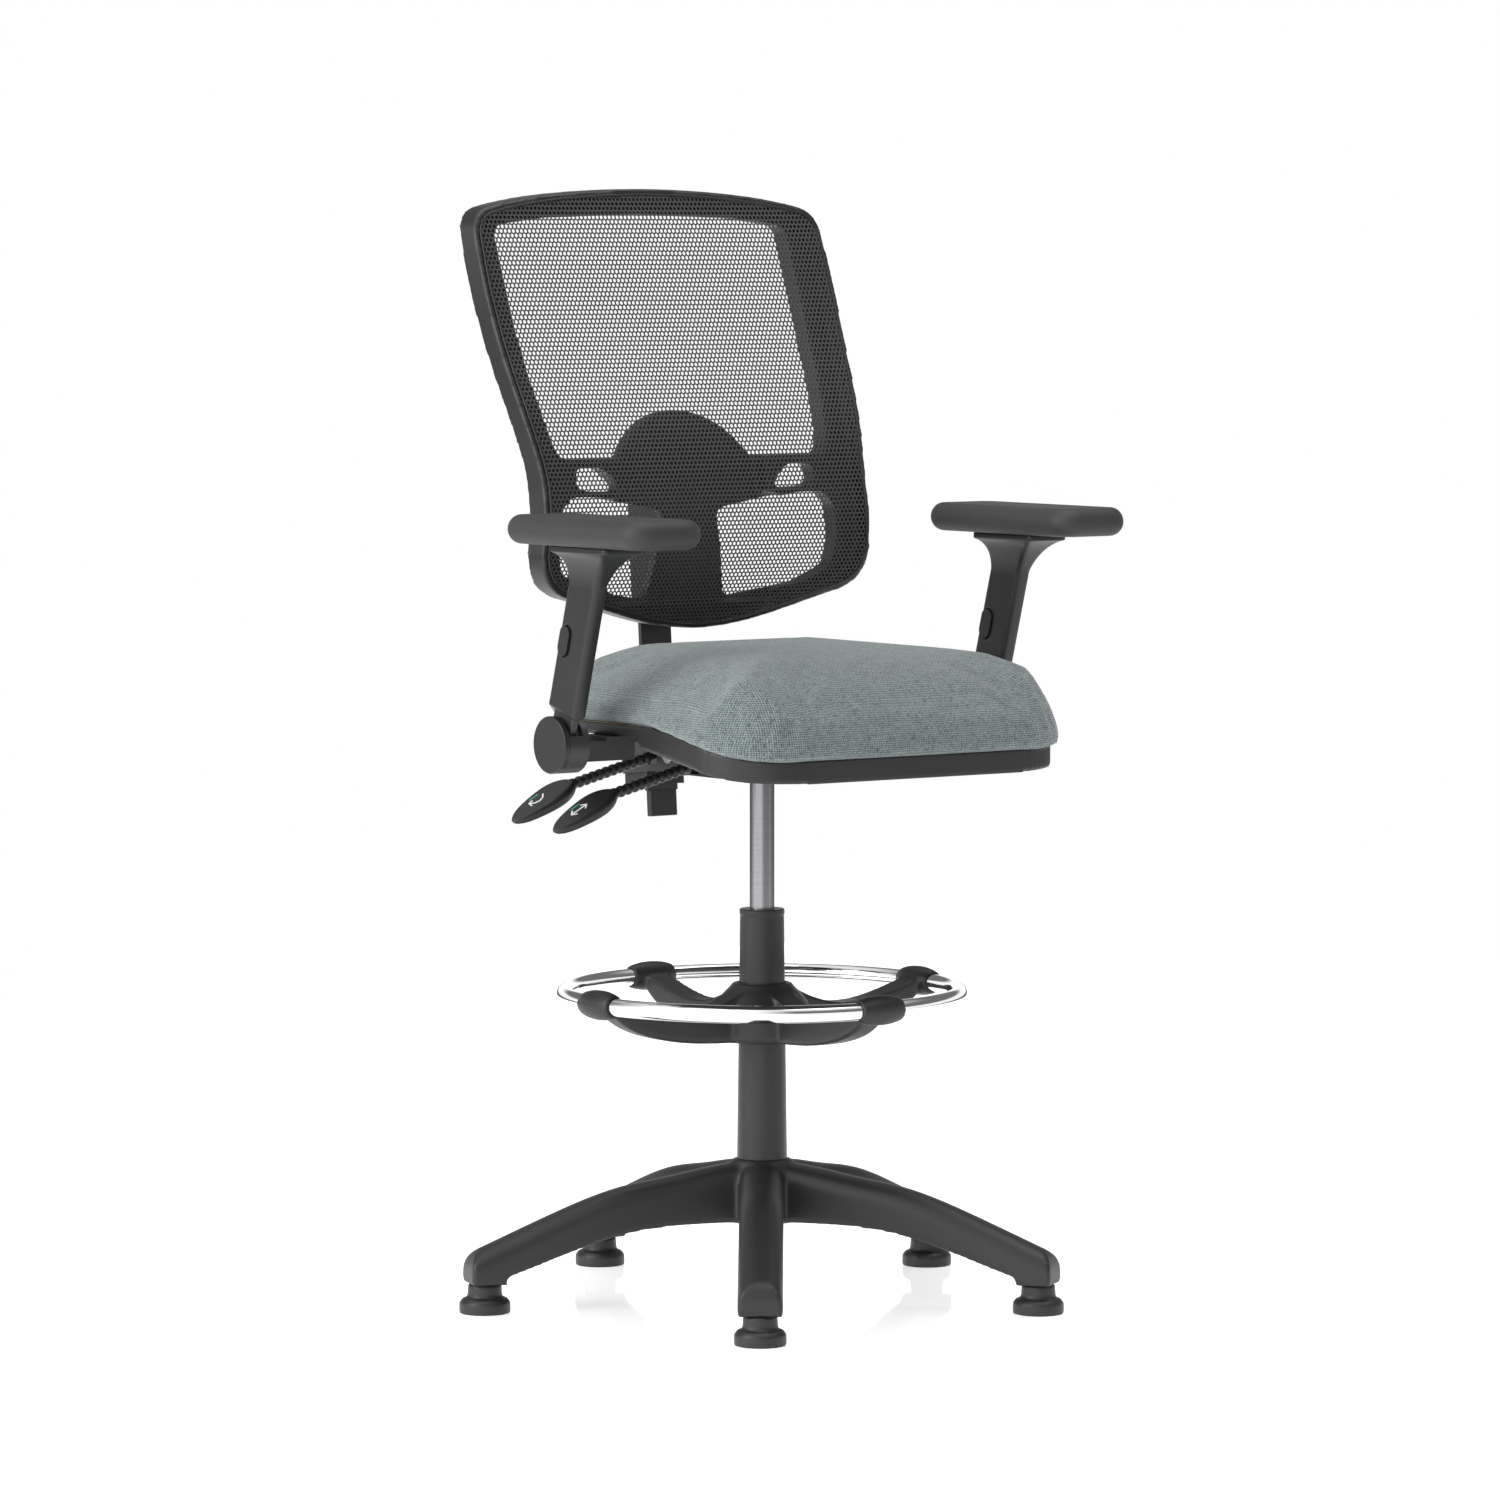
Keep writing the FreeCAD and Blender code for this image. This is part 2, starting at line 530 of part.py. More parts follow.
def seat_parts():
    parts = {}
    top = SEAT_TOP_Z + 50
    solid_pan = seat_outline(CUSHION_OVERHANG, 560, top).common(slab_between(under_line(0), top))
    inner = seat_outline(CUSHION_OVERHANG + PAN_WALL, 560, top).common(slab_between(under_line(PAN_WALL), top))
    above_rim = smooth_slab(rim_line(), top + 10)
    pan = solid_pan.cut(above_rim).cut(inner)
    board_inset = CUSHION_OVERHANG + PAN_WALL + BOARD_MARGIN
    board_bottom = slab_between(under_line(PAN_WALL), top)
    board_top = slab_between(under_line(PAN_WALL + BOARD_THICKNESS), top)
    board = seat_outline(board_inset, 560, top).common(board_bottom).cut(board_top)
    half = SEAT_WIDTH / 2
    side_view = [(-SEAT_WIDTH, y, z) for y, z in
                 [(SEAT_REAR_Y - 2, 655), (SEAT_REAR_Y, 700), (SEAT_REAR_Y - 10, 728), (SEAT_REAR_Y - 34, 741),
                  (40, 748), (-90, 749.5), (-185, 745.5), (-244, 731), (SEAT_FRONT_Y + 18, 706),
                  (SEAT_FRONT_Y, 676), (SEAT_FRONT_Y + 4, 645), (SEAT_FRONT_Y + 8, 600)]]
    side_face = face_of([smooth(side_view), line(side_view[-1], side_view[0])])
    by_side = side_face.extrude(V(2 * SEAT_WIDTH, 0, 0))
    front_view = [(-half + 3, 640), (-half, 678), (-half + 10, 704), (-half + 36, 727), (-half + 86, 742),
                  (0, 751)]
    front_pts = [(x, -400, z) for x, z in front_view]
    front_pts += [(-x, -400, z) for x, z in reversed(front_view[:-1])]
    front_face = face_of([smooth(front_pts), line(front_pts[-1], (half, -400, 590)),
                          line((half, -400, 590), (-half, -400, 590)), line((-half, -400, 590), front_pts[0])])
    by_front = front_face.extrude(V(0, 700, 0))
    body = by_side.common(by_front).common(seat_outline(0, 560, top))
    under_rim = slab_between(under_line(PAN_WALL + BOARD_THICKNESS + 0.4), top)
    outside = seat_outline(-30, 560, top).cut(seat_outline(board_inset + 0.5, 560, top))
    cushion = body.common(under_rim).cut(outside.cut(smooth_slab([(x, y, z + 0.6) for x, y, z in rim_line()],
                                                                top + 10)))
    bolts = []
    for x in HOUSING_BOLT_X:
        for y in HOUSING_BOLT_Y:
            screw = pan_head_screw(4, 14, 7, 4)
            bolts.append(moved(screw, x, y, MECH_TOP_Z - MECH_WALL))
    for screw in bolts:
        pan = pan.cut(screw)
        board = board.cut(screw)
    parts["seat_pan"] = pan
    parts["seat_board"] = board
    parts["seat_cushion"] = cushion
    parts["seat_bolts"] = group(bolts)
    return parts


# ======================================================================================
# Seat mechanism and levers
# ======================================================================================
def paddle():
    """Leaf-shaped finger paddle along -X from the origin, lofted through rounded sections."""
    shares = [(0.0, 0.42, 0.85), (0.12, 0.8, 1.0), (0.42, 1.0, 0.95), (0.75, 0.76, 0.75), (0.94, 0.4, 0.5),
              (1.0, 0.16, 0.25)]
    sections = []
    for along, wide, thick in shares:
        w, t = PADDLE_WIDTH / 2 * wide, PADDLE_THICKNESS / 2 * thick
        face = rounded_outline(-t, t, -w, w, min(w, t) * 0.8)
        face.rotate(V(0, 0, 0), Y_AXIS, 90)
        sections.append(moved(face, x=-PADDLE_LENGTH * along).OuterWire)
    return Part.makeLoft(sections, True, False)


def beaded_stem():
    """Flexible-looking stem along +Z from the origin: a row of barrel beads turned as one piece."""
    half = BEAD_PITCH / 2
    waist = math.sqrt(BEAD_R ** 2 - half ** 2)
    edges = [line((0, 0, 0), (waist, 0, 0))]
    for i in range(BEAD_COUNT):
        low = i * BEAD_PITCH
        crown, end = V(BEAD_R, 0, low + half), V(waist, 0, low + BEAD_PITCH)
        edges.append(Part.Arc(V(waist, 0, low), crown, end).toShape())
    top = BEAD_COUNT * BEAD_PITCH
    edges += [line((waist, 0, top), (waist, 0, top + 6)), line((waist, 0, top + 6), (0, 0, top + 6)),
              line((0, 0, top + 6), (0, 0, 0))]
    return face_of(edges).revolve(V(0, 0, 0), Z_AXIS, 360)


def lever_outer(start_x, y, z):
    """Beaded stem and paddle from the housing wall outwards; returns the solid."""
    slope = math.radians(LEVER_SLOPE)
    direction = V(-math.cos(slope), 0, -math.sin(slope))
    start = V(start_x, y, z)
    stem = moved(turn(beaded_stem(), -90 - LEVER_SLOPE, Y_AXIS), start.x, start.y, start.z)
    end = start + direction * (BEAD_COUNT * BEAD_PITCH - 3)
    leaf = turn(paddle(), PADDLE_TWIST, X_AXIS)
    leaf = turn(leaf, -PADDLE_SLOPE, Y_AXIS)
    leaf = moved(leaf, end.x, end.y, end.z)
    return fuse([stem, leaf])


def mechanism_parts(lift_envelope):
    parts = {}
    w, t = MECH_HALF_WIDTH, MECH_WALL
    shell = block(-w, w, MECH_FRONT_Y, MECH_REAR_Y, MECH_BOTTOM_Z, MECH_TOP_Z)
    shell = rounded(shell, 12.0, lambda e: e.BoundBox.XLength > 2 * w - 1
                    and e.CenterOfMass.z < MECH_BOTTOM_Z + 1)
    hollow = block(-w + t, w - t, MECH_FRONT_Y + t, MECH_REAR_Y + 20, MECH_BOTTOM_Z + t, MECH_TOP_Z - t)
    shell = shell.cut(hollow)
    socket = tube(21, 1, LIFT_TOP_Z - MECH_BOTTOM_Z - 4, (0, 0, MECH_BOTTOM_Z))
    shell = fuse([shell, socket]).cut(lift_envelope).cut(cyl(1.5, 200, (0, 0, 500)))
    for y, z in ((HEIGHT_LEVER_Y, HEIGHT_LEVER_Z), (TILT_LEVER_Y, TILT_LEVER_Z)):
        shell = shell.cut(block(-w - 5, -w + t + 5, y - 9, y + 9, z - 9, z + 16))
    pin_half = w + 5
    pin = cyl(RECLINE_PIN_R, 2 * pin_half, (-pin_half, RECLINE_Y, RECLINE_Z), X_AXIS)
    shell = shell.cut(cyl(RECLINE_PIN_R, 2 * pin_half + 20, (-pin_half - 10, RECLINE_Y, RECLINE_Z), X_AXIS))
    fork_notch_half = TOWER_HALF_WIDTH + FORK_PLATE + 4
    notch_y = RECLINE_Y - 3
    shell = shell.cut(block(-fork_notch_half, fork_notch_half, notch_y, MECH_REAR_Y + 1,
                            MECH_BOTTOM_Z - 5, MECH_BOTTOM_Z + t + 5))
    for x in HOUSING_BOLT_X:
        for y in HOUSING_BOLT_Y:
            shell = shell.cut(cyl(4, 10, (x, y, MECH_TOP_Z - 6)))
    parts["mechanism_housing"] = shell
    parts["recline_shaft"] = pin
    clips = [tube(RECLINE_PIN_R + 3, RECLINE_PIN_R, 1.5, (x, RECLINE_Y, RECLINE_Z), X_AXIS)
             for x in (-w - 2.2, w + 0.7)]
    parts["recline_shaft_clips"] = group(clips)

    coil_r, wire_r, turns = 13.0, 2.6, 6
    pitch = 2 * wire_r + 0.6
    helix = Part.makeHelix(pitch, pitch * turns, coil_r)
    profile = Part.Wire(Part.makeCircle(wire_r, V(coil_r, 0, 0), Y_AXIS))
    coil = Part.Wire(helix).makePipeShell([profile], True, True)
    coil = moved(turn(coil, 90, Y_AXIS), -pitch * turns / 2, RECLINE_Y, RECLINE_Z)
    parts["recline_spring"] = coil

    # The levers rock about pins that run front to back inside the housing.
    bosses = []
    pins = []
    for y, pivot_x, pivot_z in ((HEIGHT_LEVER_Y, LEVER_PIVOT_X, LEVER_ARM_Z + 3),
                                (TILT_LEVER_Y, LEVER_PIVOT_X - 18, TILT_LEVER_Z + 5)):
        pins.append(cyl(2.5, 26, (pivot_x, y - 13, pivot_z), Y_AXIS))
        for side in (-11.5, 7.5):
            boss = block(pivot_x - 5, pivot_x + 5, y + side, y + side + 4, pivot_z - 5, MECH_TOP_Z - t)
            bosses.append(boss.cut(cyl(2.5, 26, (pivot_x, y - 13, pivot_z), Y_AXIS)))
    parts["lever_pivot_pins"] = group(pins)
    parts["lever_pivot_cheeks"] = group(bosses)
    parts["height_lever"] = height_lever()
    parts["tilt_lever"] = tilt_lever()
    return parts


def height_lever():
    """Front lever: its inner finger lies over the gas lift's release pin."""
    y = HEIGHT_LEVER_Y
    wall_x = -MECH_HALF_WIDTH
    outer = lever_outer(wall_x - 4, y, HEIGHT_LEVER_Z)
    slope = math.radians(LEVER_SLOPE)
    pivot_z = LEVER_ARM_Z + 3
    start = V(wall_x - 6, y, HEIGHT_LEVER_Z - 0.5)
    elbow = V(wall_x + 12, y, HEIGHT_LEVER_Z + 16 * math.tan(slope))
    inner_rod = Part.makeCylinder(LEVER_CORE_R, (elbow - start).Length, start, elbow - start)
    knee = Part.makeSphere(LEVER_CORE_R, elbow)
    top = V(LEVER_PIVOT_X, y, pivot_z)
    rise = Part.makeCylinder(LEVER_CORE_R, (top - elbow).Length, elbow, top - elbow)
    eye = cyl(6, 8, (LEVER_PIVOT_X, y - 4, pivot_z), Y_AXIS)
    finger = block(LEVER_PIVOT_X - 4, 6, y - 4, y + 4, LEVER_ARM_Z, LEVER_ARM_Z + 5)
    reach = block(-6, 6, -6, y + 4, LEVER_ARM_Z, LEVER_ARM_Z + 5)
    lever = fuse([outer, inner_rod, knee, rise, eye, finger, reach])
    return lever.cut(cyl(2.5 + RUNNING_FIT, 40, (LEVER_PIVOT_X, y - 20, pivot_z), Y_AXIS))


def tilt_lever():
    """Rear lever: a cam on its inner end frees or grips the back's fork plate."""
    y = TILT_LEVER_Y
    wall_x = -MECH_HALF_WIDTH
    pivot_x, pivot_z = LEVER_PIVOT_X - 18, TILT_LEVER_Z + 5
    outer = lever_outer(wall_x - 4, y, TILT_LEVER_Z)
    start = V(wall_x - 6, y, TILT_LEVER_Z - 0.5)
    top = V(pivot_x, y, pivot_z)
    inner_rod = Part.makeCylinder(LEVER_CORE_R, (top - start).Length, start, top - start)
    eye = cyl(7, 12, (pivot_x, y - 6, pivot_z), Y_AXIS)
    nose = block(pivot_x, pivot_x + 11, y - 6, y + 6, pivot_z - 4, pivot_z + 4)
    lever = fuse([outer, inner_rod, eye, nose])
    return lever.cut(cyl(2.5 + RUNNING_FIT, 40, (pivot_x, y - 20, pivot_z), Y_AXIS))


# ======================================================================================
# Back bar, its tower and the recline fork
# ======================================================================================
def on_bar(shape):
    """Place a shape drawn along the bar (x across, y through, z along) on the leaning bar."""
    out = turn(shape, -BAR_LEAN, X_AXIS)
    return moved(out, 0, BAR_FOOT_Y, BAR_FOOT_Z)


def back_support_parts():
    parts = {}
    half_t = BAR_THICKNESS / 2
    tower_front = -half_t - 7
    tower_end = TOWER_START + TOWER_LENGTH
    tower = block(-TOWER_HALF_WIDTH, TOWER_HALF_WIDTH, tower_front, tower_front + TOWER_DEPTH, TOWER_START,
                  tower_end)
    tower = rounded(tower, 3.0, lambda e: e.BoundBox.ZLength > TOWER_LENGTH - 1)
    slot = block(-BAR_WIDTH / 2, BAR_WIDTH / 2, -half_t, half_t, 0, BAR_LENGTH)
    tower = tower.cut(slot)
    tower_rear = tower_front + TOWER_DEPTH
    screws = []
    for s in (TOWER_START + 19, TOWER_START + TOWER_LENGTH - 19):
        screw = turn(pan_head_screw(3, tower_rear - half_t + 5, 6, 3), 90, X_AXIS)
        screws.append(moved(screw, 0, tower_rear, s))

    plates = []
    for x in (-TOWER_HALF_WIDTH - FORK_PLATE, TOWER_HALF_WIDTH):
        side = polygon([(x, RECLINE_Y, RECLINE_Z + FORK_EYE_R), (x, RECLINE_Y, RECLINE_Z - FORK_EYE_R),
                        (x, BAR_FOOT_Y + 34, 588), (x, BAR_FOOT_Y + 38, 612), (x, BAR_FOOT_Y - 20, 640)])
        eye = cyl(FORK_EYE_R, FORK_PLATE, (x, RECLINE_Y, RECLINE_Z), X_AXIS)
        plate = fuse([side.extrude(V(FORK_PLATE, 0, 0)), eye])
        plates.append(plate)
    fork_bore = cyl(RECLINE_PIN_R + 2.5, 200, (-100, RECLINE_Y, RECLINE_Z), X_AXIS)
    web = block(-TOWER_HALF_WIDTH, TOWER_HALF_WIDTH, 150, 154, 590, 634)
    fork = fuse(plates + [web]).cut(fork_bore)
    bushes = [tube(RECLINE_PIN_R + 2.5, RECLINE_PIN_R + RUNNING_FIT, FORK_PLATE, (x, RECLINE_Y, RECLINE_Z),
                   X_AXIS)
              for x in (-TOWER_HALF_WIDTH - FORK_PLATE, TOWER_HALF_WIDTH)]
    parts["recline_fork"] = fork
    parts["recline_bushes"] = group(bushes)
    for screw in screws:
        tower = tower.cut(screw)
    parts["bar_tower"] = on_bar(tower)
    parts["bar_screws"] = on_bar(group(screws))

    cap_length = 30.0
    bar = block(-BAR_WIDTH / 2, BAR_WIDTH / 2, -half_t, half_t, 4, BAR_LENGTH)
    for i in range(RATCHET_STEPS + 1):
        along = RATCHET_ALONG + RATCHET_PITCH * i
        bar = bar.cut(block(-PAWL_HALF - 0.5, PAWL_HALF + 0.5, half_t - 2.2, half_t + 1, along - 2.5,
                            along + 2.5))
    for screw in screws:
        bar = bar.cut(screw)
    bar = bar.cut(block(-BAR_WIDTH, -BAR_WIDTH / 2 + 4.5, -10, 10, 0, cap_length)) \
        .cut(block(BAR_WIDTH / 2 - 4.5, BAR_WIDTH, -10, 10, 0, cap_length))
    cap = block(-18.5, 18.5, -half_t - 1.6, half_t + 1.6, 0, cap_length)
    cap = rounded(cap, 1.5, lambda e: e.CenterOfMass.z < cap_length - 1).cut(bar)
    parts["back_bar"] = on_bar(bar)
    parts["back_bar_cap"] = on_bar(cap)
    room = RUNNING_FIT
    return parts, on_bar(block(-BAR_WIDTH / 2 - room, BAR_WIDTH / 2 + room, -half_t - room, half_t + room, 0,
                               BAR_LENGTH + ROOM))


# ======================================================================================
# Back frame and mesh
# ======================================================================================
def back_line():
    """Front edge of the back in side view, (y, z): lumbar bulge low down, leaning back above it."""
    low, high = BACK_BOTTOM_Z, BACK_TOP_Z
    return [(130, low - 12), (112, low + 38), (103, low + 86), (101, low + 132), (109, low + 179),
            (134, low + 248), (166, low + 317), (194, low + 386), (220, low + 455), (241, high + 12)]


def curved_slab(front, back):
    """Slab that follows the back's side view from depth front to depth back, across the full width."""
    def at(depth):
        return [(-300, y + depth, z) for y, z in back_line()]
    a, b = at(front), at(back)
    face = face_of([smooth(a), line(a[-1], b[-1]), smooth(b), line(b[0], a[0])])
    return face.extrude(V(600, 0, 0))


def back_outline(inset):
    """Front view of the back: waisted sides, arched top, drooping bottom with generous corners."""
    i = inset
    low, high = BACK_BOTTOM_Z + i, BACK_TOP_Z - i
    side = [(229 - i, low + 88), (226.5 - i, low + 140), (226.5 - i, low + 175), (232 - i, low + 220),
            (240 - i, low + 290), (245 - i, low + 385), (243.5 - i, high - 52)]
    corner = [side[-1], (236 - i, high - 31), (219 - i, high - 20.5)]
    top = [corner[-1], (154 - i * 0.6, high - 9), (88, high - 3), (0, high), (-88, high - 3),
           (-154 + i * 0.6, high - 9), (-219 + i, high - 20.5)]
    heel = [(189 - i, low + 39), (219 - i * 0.9, low + 58), side[0]]
    bottom = [(-189 + i, low + 39), (-134 + i * 0.5, low + 24), (-72, low + 8), (0, low), (72, low + 8),
              (134 - i * 0.5, low + 24), (189 - i, low + 39)]

    def flip(points):
        return [(-x, z) for x, z in reversed(points)]

    runs = [side, corner, top, flip(corner), flip(side), flip(heel), bottom, heel]
    edges = [smooth([(x, 0, z) for x, z in run]) for run in runs]
    return face_of(edges).extrude(V(0, 500, 0))


def round_polygon_prism(points, radius):
    """Prism through Y from a front-view polygon with its corners rounded."""
    edges = []
    n = len(points)
    arcs = []
    for i in range(n):
        p, q, s = (V(points[j % n][0], 0, points[j % n][1]) for j in (i - 1, i, i + 1))
        a, b = (p - q).normalize(), (s - q).normalize()
        half = math.acos(max(-1, min(1, a.dot(b)))) / 2
        room = min((p - q).Length, (s - q).Length) * 0.45
        cut = min(radius / math.tan(half), room)
        r = cut * math.tan(half)
        centre = q + (a + b).normalize() * (r / math.sin(half))
        mid = centre + (q - centre).normalize() * r
        arcs.append((q + a * cut, mid, q + b * cut))
    for i in range(n):
        edges.append(Part.Arc(*arcs[i]).toShape())
        edges.append(Part.makeLine(arcs[i][2], arcs[(i + 1) % n][0]))
    return face_of(edges).extrude(V(0, 500, 0))


def back_windows():
    """The five openings of the frame, in front view."""
    low = BACK_BOTTOM_Z
    upper = [(-205, 1222), (-204, 1120), (-201, 1050), (-193, 985), (-186, 957.5),
             (186, 957.5), (193, 985), (201, 1050), (204, 1120), (205, 1222), (130, 1231), (0, 1235),
             (-130, 1231)]
    dome_r = 108.0
    dome_centre_z = 1010.5 - dome_r
    dome = Part.makeCylinder(dome_r, 500, V(0, 0, dome_centre_z), Y_AXIS)
    dome = dome.common(block(-97, 97, 0, 500, 900, 1200))
    windows = [round_polygon_prism(upper, 16).cut(dome)]
    for s in (-1, 1):
        small = [(s * 104, 920), (s * 117, 937), (s * 131, 947), (s * 166, 947), (s * 167, 925), (s * 150, 921)]
        lower = [(s * 37, 897), (s * 90, 906), (s * 140, 914.5), (s * 175, 915), (s * 190, 900), (s * 195, 860),
                 (s * 190, 829), (s * 150, 811), (s * 100, 801.5), (s * 55, 795)]
        windows += [round_polygon_prism(small, 7), round_polygon_prism(lower, 12)]
    return windows


def back_parts(bar_room):
    parts = {}
    outline = back_outline(0)
    inner = back_outline(BACK_LIP)
    rim = curved_slab(0, RIM_DEPTH).common(outline).cut(inner)
    field = curved_slab(BACK_RECESS, BACK_DEPTH).common(back_outline(BACK_LIP - 0.5))
    for window in back_windows():
        field = field.cut(window)
    stem_zone = fuse([block(-112, 112, 60, 260, BACK_BOTTOM_Z + 30, 915), block(-97, 97, 60, 260, 914, 1012)])
    deep_zone = field.common(stem_zone)
    set_back = curved_slab(0, BACK_DEPTH - 6)
    field = field.cut(stem_zone).fuse(deep_zone.cut(set_back))
    stem_core = curved_slab(BACK_DEPTH - 6, BACK_DEPTH + 8).common(stem_zone).common(inner)
    for window in back_windows():
        stem_core = stem_core.cut(window)
    housing_top = BAR_FOOT_Z + (BAR_LENGTH + 8) * math.cos(math.radians(BAR_LEAN))
    housing = on_bar(rounded_block(-BAR_WIDTH / 2 - 7, BAR_WIDTH / 2 + 7, -60, BAR_THICKNESS / 2 + 5,
                                   BACK_BOTTOM_Z - BAR_FOOT_Z + 14, BAR_LENGTH + 8, 4))
    half_t = BAR_THICKNESS / 2
    pawl_front = half_t + ROOM
    spring_front = pawl_front + PAWL_THICKNESS
    pocket_rear = spring_front + PAWL_SPRING_LENGTH
    half = PAWL_HALF
    bump = on_bar(rounded_block(-half - 6, half + 6, 0, pocket_rear + 3, RATCHET_ALONG - half - 6,
                                RATCHET_ALONG + half + 6, 4))
    pocket = on_bar(block(-half - 0.2, half + 0.2, 0, pocket_rear, RATCHET_ALONG - half - 0.2,
                          RATCHET_ALONG + half + 0.2))
    housing = fuse([housing, bump]).cut(curved_slab(-60, BACK_DEPTH))
    frame = fuse([rim, field, stem_core, housing]).cut(bar_room).cut(pocket)
    parts["ratchet_pawl"] = on_bar(block(-half, half, pawl_front, spring_front, RATCHET_ALONG - half,
                                         RATCHET_ALONG + half))
    spring = tube(5, 3.4, PAWL_SPRING_LENGTH, (0, spring_front, RATCHET_ALONG), Y_AXIS)
    parts["ratchet_pawl_spring"] = on_bar(spring)
    parts["back_frame"] = frame

    mesh = curved_slab(-MESH_THICKNESS, -0.1).common(back_outline(2.5))
    parts["back_mesh"] = mesh
    bead = curved_slab(0.2, 3.2).common(back_outline(BACK_LIP + 0.3)).cut(back_outline(BACK_LIP + 3.3))
    parts["mesh_edge_strip"] = bead
    return parts


# ======================================================================================
# Arms
# ======================================================================================
def on_post(shape, x=ARM_X):
    """Place a shape drawn along an upright post (y front to back, z up) on the leaning arm post."""
    out = turn(shape, ARM_LEAN, X_AXIS)
    return moved(out, x, ARM_PIVOT_Y, ARM_PIVOT_Z)


def arm_sleeve():
    """T-shaped outer post: rounded sleeve that flares into the plate under the pad."""
    half_w, half_d = ARM_POST_WIDTH / 2, ARM_POST_DEPTH / 2
    lean = math.radians(ARM_LEAN)
    top_along = (ARM_PLATE_Z - ARM_PIVOT_Z) / math.cos(lean)
    post = on_post(rounded_block(-half_w, half_w, -half_d, half_d, ARM_SLEEVE_START, top_along + 12, 6))
    under_plate = block(ARM_X - 60, ARM_X + 60, -260, 120, 500, ARM_PLATE_Z)
    post = post.common(under_plate)
    plate_half = ARM_PLATE_LENGTH / 2
    plate = rounded_block(ARM_X - ARM_PLATE_WIDTH / 2, ARM_X + ARM_PLATE_WIDTH / 2, ARM_PLATE_Y - plate_half,
                          ARM_PLATE_Y + plate_half, ARM_PLATE_Z, ARM_PLATE_Z + ARM_PLATE_THICKNESS, 6)
    flare = arm_flare()
    sleeve = fuse([post, plate, flare])
    bore = on_post(rounded_block(-ARM_BLADE_WIDTH / 2 - 0.2, ARM_BLADE_WIDTH / 2 + 0.2, -ARM_BLADE_DEPTH / 2 - 0.2,
                                 ARM_BLADE_DEPTH / 2 + 0.2, ARM_SLEEVE_START - 5, ARM_BLADE_LENGTH + 4, 3))
    return sleeve.cut(bore)


def arm_flare():
    """Concave flare between the post and the plate, lofted through three level sections."""
    lean = math.tan(math.radians(ARM_LEAN))
    sections = []
    steps = [(52.0, -0.04), (27.0, 0.1), (10.0, 0.42), (0.0, 0.9)]
    for below, share in steps:
        z = ARM_PLATE_Z - below
        post_y = ARM_PIVOT_Y - (z - ARM_PIVOT_Z) * lean
        y = post_y + (ARM_PLATE_Y - post_y) * share
        half_d = ARM_POST_DEPTH / 2 + (ARM_PLATE_LENGTH / 2 - ARM_POST_DEPTH / 2) * share
        half_w = ARM_POST_WIDTH / 2 + (ARM_PLATE_WIDTH / 2 - ARM_POST_WIDTH / 2) * share
        face = rounded_outline(ARM_X - half_w, ARM_X + half_w, y - half_d, y + half_d, 6, z)
        sections.append(face.OuterWire)
    return Part.makeLoft(sections, True, False)


